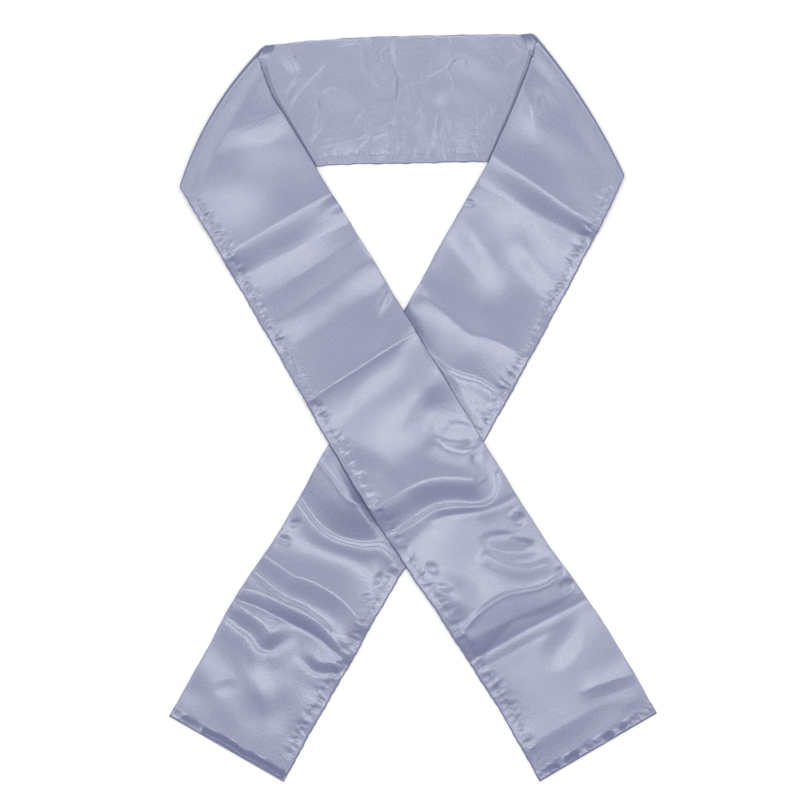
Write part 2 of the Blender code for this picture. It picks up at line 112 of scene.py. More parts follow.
# Gathers beside the stitched seam: least and most of each measure, the share that are ridges,
# and how they fade towards the edge and into the cloth
GATHER_SPACING = (1.3, 4.6)
GATHER_WIDTHS = (1.2, 2.4)
GATHER_LENGTHS = (0.4, 1.0)
GATHER_LEANS = (-0.5, 0.5)
GATHER_DEPTHS = (0.35, 1.0)
RIDGE_CHANCE = 0.35
GATHER_BACK = 0.9
GATHER_POWER = 1.5
GATHER_START = 5.0

# The dip along the stitches, and the floor that creases and swells stay above
STITCH_DIP = 0.06
STITCH_DIP_WIDTH = 1.6
LOWEST = -0.7

# Both plies carry a fold at the long edges, and only the upper ply does further in
EDGE_HOLD = 3.0
EDGE_FADE = 34.0

# Over what distance a leg's relief starts beside the roll and stops before the hem
ROLL_CALM = 18.0
HEM_CALM = 26.0

# The groove pressed into a turned end: its place and reach as shares of the end's depth, its
# depth and its far side in millimetres, and its ends as a share of the width
GROOVE_PLACE = 0.74
GROOVE_REACH = 0.6
GROOVE_DEPTH = 1.5
GROOVE_FAR_SIDE = 2.0
GROOVE_END = 0.05
GROOVE_DRIFTS = (47.0, 19.0, 6.0)
GROOVE_DRIFT_SHARE = 0.012

# Waves of a turned end, as wavelength and height, and the distance in which they start
HEM_WAVES = ((31.0, 0.08), (17.0, 0.06), (9.0, 0.03), (4.3, 0.02), (2.7, 0.02))
HEM_WAVES_START = 4.0

# The neck band: its least rise and how softly it is held, the depth of its tuck under each
# leg, and the tuck's width at the seam edge and what the folded edge has more
NECK_LEAST = 0.3
NECK_KNEE = 3.0
NECK_TUCK = 0.6
TUCK_WIDTH = 4.0
TUCK_WIDENING = 5.0

# Unevenness of both long edges, which starts and stops over WAVES_FADE. Columns: wavelength,
# size at the seam edge and at the folded edge
EDGE_WAVES = ((61.0, 0.25, 0.2), (23.0, 0.16, 0.1), (9.0, 0.18, 0.04))
WAVES_FADE = 20.0

# Columns crowd towards the seam by this much
SEAM_CROWDING = 0.55

# Edges that turn by more degrees than this are shaded sharp
SHARP_EDGE = 58.0

log = logging.getLogger("scarf")


class Side(Enum):
    """Which side of the neck band a leg hangs from, as the sign of its fold."""

    LEFT = 1.0
    RIGHT = -1.0


class Layer(Enum):
    """Order of a stretch in the pile where the legs cross."""

    UNDER = 0
    OVER = 1


def smooth(share: Array | float) -> Array:
    """Ease from 0 to 1 with level ends; values outside that range are held."""
    held = np.clip(share, 0.0, 1.0)
    return held * held * (3.0 - 2.0 * held)


def mix(first: Array | float, second: Array | float, share: Array | float) -> Array | float:
    """Blend from the first value at share 0 to the second at share 1."""
    return first + (second - first) * share


def round_edge(share: Array) -> Array:
    """Rise from 0 to 1 as a quarter of an ellipse does, for the cloth's bend over an edge."""
    return np.sqrt(1.0 - (1.0 - np.clip(share, 0.0, 1.0)) ** 2)


def plump(inset: Array) -> Array:
    """Share of the body rise at a distance in from the seam edge.

    Args:
        inset: Distance in from the seam edge, in millimetres.

    Returns:
        A share that rises quickly at both edges and a little more towards the middle.
    """
    crown = smooth((inset - CROWN_START) / CROWN_REACH)
    from_seam = (1.0 - CROWN_PART) * round_edge(inset / SEAM_BEND) + CROWN_PART * crown
    return from_seam * round_edge((WIDTH - inset) / FOLD_BEND)


def read_curve(places: list[float], values: list[float], at: Array | float) -> Array:
    """Read a smooth curve through a short column of values.

    The slope at each place is the mean slope of its neighbours.

    Args:
        places: Rising places of the column.
        values: The column's values.
        at: Where to read the curve.

    Returns:
        The curve's values, held beyond both ends.
    """
    spots = np.asarray(places, float)
    column = np.asarray(values, float)
    slopes = np.empty_like(column)
    slopes[1:-1] = (column[2:] - column[:-2]) / (spots[2:] - spots[:-2])
    slopes[0] = (column[1] - column[0]) / (spots[1] - spots[0])
    slopes[-1] = (column[-1] - column[-2]) / (spots[-1] - spots[-2])
    held = np.clip(at, spots[0], spots[-1])
    index = np.clip(np.searchsorted(spots, held, side="right") - 1, 0, len(spots) - 2)
    span = spots[index + 1] - spots[index]
    share = (held - spots[index]) / span
    square = share * share
    cube = square * share
    start = (2.0 * cube - 3.0 * square + 1.0) * column[index]
    start += (cube - 2.0 * square + share) * span * slopes[index]
    end = (3.0 * square - 2.0 * cube) * column[index + 1]
    end += (cube - square) * span * slopes[index + 1]
    return start + end


def linear_colour(code: str) -> tuple[float, float, float, float]:
    """Turn an sRGB hex colour into the linear colour that shaders take.

    Args:
        code: Six hex digits after a hash sign.

    Returns:
        Red, green, blue and alpha.
    """
    channels = [int(code[start:start + 2], 16) / 255.0 for start in (1, 3, 5)]
    linear = [c / 12.92 if c <= 0.04045 else ((c + 0.055) / 1.055) ** 2.4 for c in channels]
    return (linear[0], linear[1], linear[2], 1.0)


class Line(Enum):
    """Which line of a fold is the sharp one that its path follows."""

    CREST = "crest"
    FOOT = "foot"


class Form(Enum):
    """How a fold's steep flank runs between its foot and its crest."""

    STRAIGHT = "straight"
    CRISP_CREST = "steepest below the crest"
    CRISP_FOOT = "steepest above the foot"
    SOFT = "rounded at both"


class Facing(Enum):
    """Which way a fold's steep flank faces, as a sign down the strip."""

    DOWN = 1.0
    UP = -1.0


@dataclass(frozen=True)
class Fold:
    """A one-sided fold of the upper ply: a steep flank and a gentle one that fades out.

    first and last scale the fold at the two ends of its path. A lip is a low ridge that draws
    a thin bright line along the crest or the foot.
    """

    path: tuple[Point, ...]
    rise: float
    steep: float
    gentle: float
    line: Line = Line.CREST
    form: Form = Form.SOFT
    facing: Facing = Facing.DOWN
    first: float = 1.0
    last: float = 1.0
    fade: float = 28.0
    crest_lip: float = 0.0
    foot_lip: float = 0.0

    def height(self, x: Array, y: Array, down_x: float, down_y: float) -> Array:
        """Height that the fold adds.

        Args:
            x: Places along X.
            y: Places along Y.
            down_x: Direction down the strip, first part.
            down_y: Direction down the strip, second part.

        Returns:
            Rise at each place.
        """
        added = np.zeros_like(x)
        knots = np.asarray(self.path, float)
        steps = np.hypot(*np.diff(knots, axis=0).T)
        marks = np.concatenate(([0.0], np.cumsum(steps)))
        reach = (self.steep + self.gentle + REACH_MARGIN) * max(self.first, self.last)
        low = knots.min(0) - reach
        high = knots.max(0) + reach
        near = (x > low[0]) & (x < high[0]) & (y > low[1]) & (y < high[1])
        if not near.any():
            return added
        px, py = x[near], y[near]
        count = max(2, int(marks[-1] / PATH_STEP))
        at = np.linspace(0.0, marks[-1], count + 1)
        line_x = read_curve(list(marks), list(knots[:, 0]), at)
        line_y = read_curve(list(marks), list(knots[:, 1]), at)
        best = np.full(px.shape, 1e9)
        side = np.zeros(px.shape)
        along = np.zeros(px.shape)
        for number in range(count):
            ax, ay = line_x[number], line_y[number]
            sx, sy = line_x[number + 1] - ax, line_y[number + 1] - ay
            share = np.clip(((px - ax) * sx + (py - ay) * sy) / (sx * sx + sy * sy), 0.0, 1.0)
            dx = px - ax - share * sx
            dy = py - ay - share * sy
            distance = np.hypot(dx, dy)
            closer = distance < best
            best = np.where(closer, distance, best)
            side = np.where(closer, dx * down_x + dy * down_y, side)
            along = np.where(closer, mix(at[number], at[number + 1], share), along)
        size = mix(self.first, self.last, along / marks[-1])
        ends = smooth(along / self.fade) * smooth((marks[-1] - along) / self.fade)
        signed = best * np.sign(side) * self.facing.value / size
        added[near] = size * ends * (self.rise * self._profile(signed) + self._lips(signed))
        return added

    def _lips(self, signed: Array) -> Array:
        """Rise of both lips.

        Args:
            signed: Distance from the path, positive towards the steep flank's foot.

        Returns:
            Rise in millimetres.
        """
        crest = signed if self.line is Line.CREST else signed + self.steep
        foot = crest - self.steep - FOOT_LIP_AWAY
        crest_width = np.where(crest < 0.0, *CREST_LIP_WIDTHS)
        foot_width = np.where(foot < 0.0, *FOOT_LIP_WIDTHS)
        ridge = self.crest_lip * np.exp(-(crest / crest_width) ** 2)
        return ridge + self.foot_lip * np.exp(-(foot / foot_width) ** 2)

    def _profile(self, signed: Array) -> Array:
        """Share of the rise.

        Args:
            signed: Distance from the path, positive towards the steep flank's foot.

        Returns:
            Share from 0 to 1.
        """
        beyond_crest = signed if self.line is Line.CREST else signed + self.steep
        flank = np.clip(1.0 - beyond_crest / self.steep, 0.0, 1.0)
        if self.form is Form.CRISP_CREST:
            flank = flank ** CRISP_CREST_POWER
        elif self.form is Form.CRISP_FOOT:
            flank = 1.0 - (1.0 - flank) ** CRISP_FOOT_POWER
        elif self.form is Form.STRAIGHT:
            flank = mix(flank, smooth(flank), 0.5)
        else:
            flank = smooth(flank)
        gentle = np.clip(1.0 + beyond_crest / (self.gentle * GENTLE_STRETCH), 0.0, 1.0) ** 2
        return np.where(beyond_crest > 0.0, flank, gentle)


@dataclass(frozen=True)
class Swell:
    """A rounded rise or dimple of the upper ply; level is the share that is flat on top."""

    x: float
    y: float
    length: float
    width: float
    turn: float
    rise: float
    level: float = 0.0

    def height(self, x: Array, y: Array) -> Array:
        """Height that the swell adds.

        Args:
            x: Places along X.
            y: Places along Y.

        Returns:
            Rise at each place.
        """
        angle = math.radians(self.turn)
        dx = x - self.x
        dy = y - self.y
        along = (dx * math.cos(angle) + dy * math.sin(angle)) / self.length
        across = (dy * math.cos(angle) - dx * math.sin(angle)) / self.width
        distance = np.hypot(along, across)
        return self.rise * (1.0 - smooth((distance - self.level) / (1.0 - self.level)))


def swells(*rows: tuple[float, ...]) -> tuple[Swell, ...]:
    """Read a table whose columns are x, y, length, width, turn, rise and, where given, level."""
    return tuple(Swell(*row) for row in rows)


def pressed_line(path: tuple[Point, ...], fade: float, **lip: float) -> Fold:
    """Thin bright line pressed into the satin: a fold that is all lip and no step."""
    return Fold(path, rise=0.0, steep=3, gentle=3, fade=fade, **lip)


@dataclass(frozen=True)
class Ripple:
    """Faint waves that slack cloth always has, from a few seeded sine waves."""

    seed: int
    rise: float
    shortest: float
    longest: float
    heading: float
    spread: float
    waves: int = 14

    def height(self, x: Array, y: Array) -> Array:
        """Height that the waves add.

        Args:
            x: Places along X.
            y: Places along Y.

        Returns:
            Rise at each place.
        """
        draw = np.random.default_rng(self.seed)
        total = np.zeros_like(x)
        for _wave in range(self.waves):
            length = draw.uniform(self.shortest, self.longest)
            angle = math.radians(self.heading + draw.uniform(-self.spread, self.spread))
            phase = draw.uniform(0.0, 2.0 * math.pi)
            place = (x * math.cos(angle) + y * math.sin(angle)) / length
            total += np.sin(2.0 * math.pi * place + phase) * length / self.longest
        return total * self.rise / math.sqrt(self.waves)


@dataclass(frozen=True)
class Creases:
    """Net of fine lines that crumpled satin keeps: the level lines of a slow ripple."""

    pattern: Ripple
    strength: Ripple
    rise: float
    width: float
    reach: float = 0.5

    def height(self, x: Array, y: Array) -> Array:
        """Height of the net, in millimetres.

        Args:
            x: Places along X.
            y: Places along Y.

        Returns:
            A thin ridge along each level line, which comes and goes.
        """
        level = self.pattern.height(x, y)
        step_x = (self.pattern.height(x + self.reach, y) - level) / self.reach
        step_y = (self.pattern.height(x, y + self.reach) - level) / self.reach
        away = level / np.maximum(np.hypot(step_x, step_y), 0.01)
        shown = smooth(self.strength.height(x, y) + 0.6)
        return self.rise * shown * np.exp(-(away / self.width) ** 2)


@dataclass(frozen=True)
class Puckers:
    """Small gathers that a topstitched seam pulls into the cloth beside it."""

    seed: int
    depth: float
    reach: float

    def height(self, run: Array, inset: Array) -> Array:
        """Height that the gathers add.

        Args:
            run: Place along the strip.
            inset: Distance in from the seam edge.

        Returns:
            Rise at each place.
        """
        draw = np.random.default_rng(self.seed)
        added = np.zeros_like(run)
        place = float(run.min())
        end = float(run.max())
        while place < end:
            width = draw.uniform(*GATHER_WIDTHS)
            length = draw.uniform(*GATHER_LENGTHS) * self.reach
            lean = draw.uniform(*GATHER_LEANS)
            depth = self.depth * draw.uniform(*GATHER_DEPTHS)
            depth = depth * (1.0 if draw.random() < RIDGE_CHANCE else -1.0)
            offset = run - place - lean * (inset - STITCH_INSET)
            beyond = np.where(inset > STITCH_INSET, (inset - STITCH_INSET) / length,
                              (STITCH_INSET - inset) / (STITCH_INSET * GATHER_BACK))
            fade = np.clip(1.0 - beyond, 0.0, 1.0) ** GATHER_POWER
            added += depth * np.exp(-(offset / width) ** 2) * fade
            place += draw.uniform(*GATHER_SPACING)
        return added


def dress_seam(rise: Array, run: Array, inset: Array, gathers: Puckers) -> None:
    """Bend the upper ply's rise down at both edges and add the stitched seam's relief.

    Args:
        rise: The rise, which this changes.
        run: Places along the strip.
        inset: Distance in from the seam edge.
        gathers: The seam's gathers.
    """
    rise *= plump(inset)
    rise += gathers.height(run, np.broadcast_to(inset, rise.shape)) * smooth(inset / GATHER_START)
    rise -= STITCH_DIP * np.exp(-((inset - STITCH_INSET) / STITCH_DIP_WIDTH) ** 2)


@dataclass(frozen=True)
class EdgeStation:
    """One section of a leg: its run and the reach of both its edges."""

    run: float
    seam_reach: float
    fold_reach: float


def edge_stations(*rows: tuple[float, float, float]) -> tuple[EdgeStation, ...]:
    """Read a table whose columns are run, seam_reach and fold_reach."""
    return tuple(EdgeStation(*row) for row in rows)


@dataclass(frozen=True)
class NeckStation:
    """One section of the neck band: its seam edge point and its folded edge point."""

    seam_x: float
    seam_y: float
    fold_x: float
    fold_y: float


@dataclass(frozen=True)
class LegPlan:
    """Plan of one leg and its fold."""

    side: Side
    layer: Layer
    corner: Point
    tip: Point
    heading: float
    bow: float
    roll_at_corner: float
    roll_at_tip: float
    slip_above: float
    slip_below: float
    cut_corner: Point
    cut_tip: Point
    length: float
    edges: tuple[EdgeStation, ...]
    edge_seed: int

    def down(self) -> Point:
        """Direction down the leg."""
        angle = math.radians(self.heading)
        return (math.sin(angle), -math.cos(angle))

    def across(self) -> Point:
        """Direction across the leg, from its seam edge towards the neck loop."""
        angle = math.radians(self.heading)
        return (self.side.value * math.cos(angle), self.side.value * math.sin(angle))

    def point(self, run: Array | float, reach: Array | float) -> tuple[Array, Array]:
        """Turn places on the leg into points of the plan.

        Args:
            run: Run down the leg.
            reach: Reach across it.

        Returns:
            The points' two coordinates.
        """
        down, across = self.down(), self.across()
        x = self.corner[0] + run * down[0] + reach * across[0]
        y = self.corner[1] + run * down[1] + reach * across[1]
        return x, y

    def place(self, x: Array, y: Array) -> tuple[Array, Array]:
        """Turn points of the plan into run and reach on the leg.

        Args:
            x: Places along X.
            y: Places along Y.

        Returns:
            Run and reach.
        """
        down, across = self.down(), self.across()
        dx = x - self.corner[0]
        dy = y - self.corner[1]
        return dx * down[0] + dy * down[1], dx * across[0] + dy * across[1]

    def reaches(self, run: Array | float) -> tuple[Array, Array]:
        """Reach of both long edges.

        Args:
            run: Places down the leg.

        Returns:
            Reach of the seam edge and of the folded edge.
        """
        runs = [station.run for station in self.edges]
        seam = read_curve(runs, [station.seam_reach for station in self.edges], run)
        fold = read_curve(runs, [station.fold_reach for station in self.edges], run)
        return seam, fold

    def wobble(self, run: Array | float) -> tuple[Array, Array]:
        """Small unevenness of both edges; the gathered seam edge has more of it.

        Args:
            run: Places down the leg.

        Returns:
            What it adds to the reach of the seam edge and of the folded edge.
        """
        draw = np.random.default_rng(self.edge_seed)
        seam = np.zeros_like(np.asarray(run, float))
        fold = np.zeros_like(seam)
        for length, seam_share, fold_share in EDGE_WAVES:
            phase = draw.uniform(0.0, 2.0 * math.pi, 2)
            seam = seam + seam_share * np.sin(2.0 * math.pi * np.asarray(run) / length + phase[0])
            fold = fold + fold_share * np.sin(2.0 * math.pi * np.asarray(run) / length + phase[1])
        start = smooth(np.asarray(run) / WAVES_FADE)
        end = smooth((self.length - np.asarray(run)) / WAVES_FADE)
        return seam * start * end, fold * start * end

    def fold_axes(self) -> tuple[Point, Point, float]:
        """Axes of the leg's fold.

        Returns:
            Direction from tip to corner, direction out of the fold, and the fold's length.
        """
        dx = self.corner[0] - self.tip[0]
        dy = self.corner[1] - self.tip[1]
        length = math.hypot(dx, dy)
        along = (dx / length, dy / length)
        outward = (self.side.value * along[1], -self.side.value * along[0])
        return along, outward, length

    def fold_point(self, share: Array) -> tuple[Array, Array]:
        """Points of the fold's silhouette.

        Args:
            share: Shares across the strip.

        Returns:
            The points' two coordinates.
        """
        outward = self.fold_axes()[1]
        bow = self.bow * 4.0 * share * (1.0 - share)
        x = mix(self.corner[0], self.tip[0], share) + bow * outward[0]
        y = mix(self.corner[1], self.tip[1], share) + bow * outward[1]
        return x, y

    def depth(self, x: Array, y: Array) -> Array:
        """Distance inward from the fold's silhouette.

        Args:
            x: Places along X.
            y: Places along Y.

        Returns:
            The distance at each place.
        """
        along, outward, length = self.fold_axes()
        dx = x - self.corner[0]
        dy = y - self.corner[1]
        share = np.clip(-(dx * along[0] + dy * along[1]) / length, 0.0, 1.0)
        bow = self.bow * 4.0 * share * (1.0 - share)
        return bow - (dx * outward[0] + dy * outward[1])

    def radius(self, share: Array) -> Array:
        """Half the height of the fold's roll between corner and tip."""
        return mix(self.roll_at_corner, self.roll_at_tip, share)

    def reach_out(self, share: Array) -> Array:
        """Distance from the roll's silhouette in to its middle; the roll is wider than high."""
        return self.radius(share) * ROLL_ASPECT

    def outside(self, x: Array, y: Array) -> Array:
        """Distance outside the leg's two long edges.

        Args:
            x: Places along X.
            y: Places along Y.

        Returns:
            The distance at each place, negative inside.
        """
        run, reach = self.place(x, y)
        seam, fold = self.reaches(run)
        return np.maximum(seam - reach, reach - fold)


LEFT_PLAN = LegPlan(
    side=Side.LEFT, layer=Layer.OVER, corner=(-231.5, 225.5), tip=(-154.5, 356.5), heading=30.3,
    bow=8.7, roll_at_corner=4.0, roll_at_tip=4.8, slip_above=6.0, slip_below=11.0,
    cut_corner=(-201.5, 228.5), cut_tip=(-136.5, 364.2), length=698.0, edge_seed=11,
    edges=edge_stations(
        (-74.0, 0.0, 132.6), (-63.0, 0.0, 129.6), (-35.0, 0.0, 124.0), (0.0, -1.0, 123.8),
        (9.0, -2.7, 124.0), (60.0, -2.6, 124.4), (150.0, -2.8, 126.8), (230.0, -3.0, 127.9),
        (300.0, -4.0, 129.3), (380.0, -2.8, 131.0), (450.0, 0.4, 132.7), (500.0, 4.0, 135.0),
        (560.0, 6.4, 140.8), (620.0, 8.8, 143.7), (698.0, 7.6, 143.4)),
)

RIGHT_PLAN = LegPlan(
    side=Side.RIGHT, layer=Layer.UNDER, corner=(210.5, 236.5), tip=(123.5, 372.5), heading=-29.8,
    bow=5.2, roll_at_corner=4.0, roll_at_tip=4.7, slip_above=6.0, slip_below=6.0,
    cut_corner=(179.5, 241.0), cut_tip=(108.0, 374.2), length=698.0, edge_seed=23,
    edges=edge_stations(
        (-74.0, 0.0, 141.4), (-56.0, 0.0, 135.7), (-9.0, 0.0, 128.6), (8.0, -2.8, 126.8),
        (31.0, -6.2, 124.4), (60.0, -7.7, 122.0), (140.0, -10.6, 122.4), (200.0, -12.0, 121.3),
        (300.0, -13.6, 120.8), (390.0, -11.0, 120.2), (460.0, -8.0, 119.3), (505.0, -7.2, 121.1),
        (563.0, -8.1, 125.4), (620.0, -7.6, 123.9), (698.0, -8.6, 123.4)),
)

# Columns: x and y of the seam edge, x and y of the folded edge
NECK_STATIONS = tuple(NeckStation(*row) for row in (
    (-201.5, 228.5, -136.5, 364.2), (-150.0, 236.0, -112.0, 366.8), (-98.0, 241.8, -80.0, 369.3),
    (-58.0, 244.3, -52.0, 371.2), (-19.5, 244.6, -17.5, 372.4), (20.0, 245.6, 22.0, 373.2),
    (62.0, 246.4, 52.0, 373.8), (118.0, 244.6, 82.0, 374.2), (179.5, 241.0, 108.0, 374.2)))

LEFT_FOLDS = (
    Fold(((-104, 300), (-150, 290), (-182, 278), (-210, 263), (-236, 246)), rise=0.5, steep=30,
         gentle=40, last=0.5, crest_lip=0.08),
    Fold(((-52, 232), (-82, 215), (-112, 199), (-150, 176), (-198, 147), (-230, 128)), rise=1.7,
         steep=32, gentle=80, form=Form.STRAIGHT, first=1.15, last=0.8),
    Fold(((-4, 168), (-38, 152), (-66, 136), (-122, 97), (-150, 80), (-178, 62)), rise=1.5,
         steep=36, gentle=84),
    Fold(((28, 93), (0, 75), (-50, 43), (-107, 7), (-140, -13)), rise=2.0, steep=40, gentle=95,
         form=Form.CRISP_CREST, crest_lip=0.08),
    Fold(((-70, -155), (-36, -132), (-13, -120), (20, -99), (38, -95), (64, -95), (86, -90)),
         rise=2.6, steep=38, gentle=60, line=Line.FOOT, last=0.6, foot_lip=0.65),
    pressed_line(((58, -95), (72, -91), (79, -82), (79, -68), (70, -60)), fade=12, foot_lip=0.35),
    Fold(((10, -112), (40, -106), (78, -99), (106, -86), (124, -76)), rise=-0.25, steep=6,
         gentle=6),
    pressed_line(((26, -24), (34, -34), (56, -38), (70, -22)), fade=9, foot_lip=0.5),
    pressed_line(((20, -20), (32, -12), (52, -13), (70, -22)), fade=9, foot_lip=0.3),
    pressed_line(((68, -128), (84, -124), (104, -122), (124, -124)), fade=12, foot_lip=0.4),
    pressed_line(((70, -136), (92, -148), (114, -153), (140, -144)), fade=12, foot_lip=0.5),
    pressed_line(((94, -118), (92, -104), (104, -96), (116, -100)), fade=9, foot_lip=0.5),
    Fold(((34, -244), (54, -219), (70, -202), (94, -187), (127, -180), (144, -170), (156, -156),
         (176, -140)), rise=1.7, steep=34, gentle=95, form=Form.CRISP_FOOT, last=0.55,
         crest_lip=0.32),
    Fold(((40, -264), (67, -248), (117, -220), (170, -193), (204, -174)), rise=0.8, steep=18,
         gentle=34, line=Line.FOOT, form=Form.CRISP_FOOT, first=1.2, last=0.5, foot_lip=0.14),
    Fold(((50, -270), (88, -249), (128, -227), (160, -213)), rise=-0.08, steep=7, gentle=6,
         fade=36),
    Fold(((160, -288), (184, -277), (222, -264), (254, -251)), rise=0.4, steep=14, gentle=18,
         crest_lip=0.1),
    Fold(((88, -352), (112, -338), (155, -315), (184, -298), (203, -293), (236, -270), (266, -253)),
         rise=0.22, steep=22, gentle=28),
)

LEFT_SWELLS = swells(
    (-152, 280, 27, 18, 20, 0.3), (-74, 205, 24, 12, 31, -0.7), (-27, 112, 26, 8, 65, 0.5),
    (-20, -4, 64, 46, 60, 0.9), (15, -6, 34, 22, 65, -0.5), (44, -25, 25, 14, -3, -0.5, 0.45),
    (62, -50, 18, 9, 75, -0.4), (97, -137, 33, 15, -10, -0.6, 0.45),
    (103, -109, 13, 10, -40, -0.5, 0.3), (44, -190, 36, 26, -50, 1.1),
    (32, -179, 11, 6, -10, -0.35, 0.2), (20, -160, 10, 7, -30, -0.35, 0.2),
    (154, -177, 10, 8, 30, -0.5, 0.3), (148, -163, 9, 6, 40, -0.5), (150, -236, 34, 20, 60, -0.6),
    (222, -297, 19, 14, 30, 0.5))

# The left leg rides over the right leg's folds here, so that neither passes through the other
LEFT_LIFT = swells(
    (27, 42, 58, 44, -60, 2.6), (-46, -95, 76, 46, -60, 2.6), (-80, -39, 40, 30, -60, 0.55),
    (-9, -155, 34, 26, -60, 0.3), (55, -10, 34, 26, -60, 0.25))

RIGHT_FOLDS = (
    Fold(((108, 344), (112, 318), (119, 290), (124, 262)), rise=0.9, steep=20, gentle=30,
         facing=Facing.UP, fade=40),
    Fold(((40, 238), (70, 220), (100, 205), (125, 192), (146, 181), (170, 170), (200, 155)),
         rise=2.0, steep=38, gentle=60, line=Line.FOOT, first=1.0, last=0.4),
    Fold(((16, 196), (32, 168), (48, 146), (66, 124), (92, 98)), rise=0.75, steep=28, gentle=70,
         line=Line.FOOT, fade=50),
    Fold(((78, 172), (90, 154), (112, 126), (138, 100), (152, 88)), rise=0.35, steep=22, gentle=40,
         line=Line.FOOT, fade=40),
    Fold(((-30, 96), (-4, 76), (21, 53), (36, 40), (50, 34), (67, 29), (92, 13), (124, -10)),
         rise=2.2, steep=46, gentle=70, line=Line.FOOT, form=Form.CRISP_FOOT, first=0.8,
         foot_lip=0.7),
    Fold(((-146, -46), (-122, -78), (-109, -95), (-97, -112), (-78, -127), (-48, -135), (-32, -134),
         (-17, -144), (12, -166)), rise=3.0, steep=38, gentle=36, line=Line.FOOT,
         form=Form.STRAIGHT, crest_lip=0.3, foot_lip=0.75),
    Fold(((-190, -140), (-168, -156), (-155, -168), (-144, -177), (-128, -189), (-109, -197),
         (-90, -212), (-78, -227), (-62, -250)), rise=2.1, steep=29, gentle=36, line=Line.FOOT,
         form=Form.STRAIGHT, first=0.6, last=1.1, foot_lip=0.35),
    Fold(((-212, -174), (-178, -191), (-159, -197), (-128, -212), (-98, -227), (-67, -254),
         (-46, -276)), rise=1.3, steep=14, gentle=26, line=Line.FOOT, form=Form.CRISP_FOOT, fade=24,
         foot_lip=0.2),
    Fold(((-200, -196), (-176, -218), (-163, -227), (-152, -241), (-140, -243), (-130, -237),
         (-112, -222)), rise=1.1, steep=18, gentle=24, line=Line.FOOT, fade=26, foot_lip=0.3),
    Fold(((-118, -244), (-109, -254), (-98, -264), (-78, -266), (-54, -256)), rise=0.8, steep=12,
         gentle=20, line=Line.FOOT, fade=18, foot_lip=0.3),
    Fold(((-174, -218), (-165, -240), (-158, -262), (-151, -296), (-148, -312)), rise=0.35,
         steep=16, gentle=14, facing=Facing.UP, fade=34),
)

RIGHT_SWELLS = swells(
    (121, 307, 24, 11, 80, 0.5), (56, 206, 9, 5, -5, -0.5), (-128, -132, 9, 6, -20, -0.4, 0.2),
    (-117, -115, 8, 5, 20, -0.35, 0.2), (-34, -170, 9, 5, 60, -0.45), (-47, -189, 10, 6, 10, -0.45),
    (-165, -268, 30, 12, -70, 0.3), (-130, -300, 30, 20, 60, -0.3),
    (-186, -280, 15, 10, 20, -0.2, 0.2))

NECK_FOLDS = (
    Fold(((-18, 400), (-17, 360), (-17, 330), (-19, 302), (-20, 271), (-20, 216)), rise=-0.3,
         steep=3.2, gentle=2.6, form=Form.STRAIGHT),
    Fold(((-13, 340), (-12, 320), (-15, 292)), rise=0.6, steep=8, gentle=10, fade=16),
    pressed_line(((-43, 372), (-44, 352), (-41, 337), (-37, 327), (-25, 318)), fade=14,
                 crest_lip=0.26),
    pressed_line(((17, 382), (17, 352), (14, 334), (8, 318), (7, 302), (2, 289), (-8, 280),
                 (-10, 268), (-4, 252)), fade=16, crest_lip=0.3),
    Fold(((32, 318), (25, 296), (18, 268), (14, 252)), rise=0.6, steep=10, gentle=14, fade=24),
    pressed_line(((99, 334), (92, 318), (84, 305), (74, 296), (62, 276), (46, 262)), fade=16,
                 crest_lip=0.2),
)

NECK_SWELLS = swells(
    (-122, 350, 19, 13, 110, -1.1), (-18, 360, 22, 5, 88, -0.35), (-21, 252, 14, 6, 100, -0.35))


def pile_height(outside: Array) -> Array:
    """Height of a stretch that lies on another, easing down with distance outside it."""
    return STACK_HEIGHT * (1.0 - smooth((outside - STEP_HOLD) / STEP_FADE))


def neck_seam_height(x: Array) -> Array:
    """Line of the neck band's seam edge, out to both fold corners.

    Args:
        x: Places along X.

    Returns:
        Places of the edge along Y.
    """
    places = [LEFT_PLAN.corner[0]] + [row.seam_x for row in NECK_STATIONS] + [RIGHT_PLAN.corner[0]]
    values = [LEFT_PLAN.corner[1]] + [row.seam_y for row in NECK_STATIONS] + [RIGHT_PLAN.corner[1]]
    return read_curve(places, values, x)


def add_node(tree: bpy.types.NodeTree, kind: str, links: dict | None = None,
             **settings: object) -> bpy.types.Node:
    """Add a shader node with its settings and links.

    Args:
        tree: Node tree that takes the node.
        kind: Blender's name of the node's type.
        links: Input names or numbers with the output socket or plain value that feeds each.
        settings: Attributes of the node itself.

    Returns:
        The node.
    """
    node = tree.nodes.new(kind)
    for name, value in settings.items():
        setattr(node, name, value)
    for name, source in (links or {}).items():
        if isinstance(source, bpy.types.NodeSocket):
            tree.links.new(source, node.inputs[name])
        else:
            node.inputs[name].default_value = source
    return node


def new_material(name: str) -> tuple[bpy.types.Material, bpy.types.NodeTree]:
    """Start an empty node material.

    Args:
        name: The material's name.

    Returns:
        The material and its node tree.
    """
    material = bpy.data.materials.new(name)
    material.use_nodes = True
    material.node_tree.nodes.clear()
    return material, material.node_tree


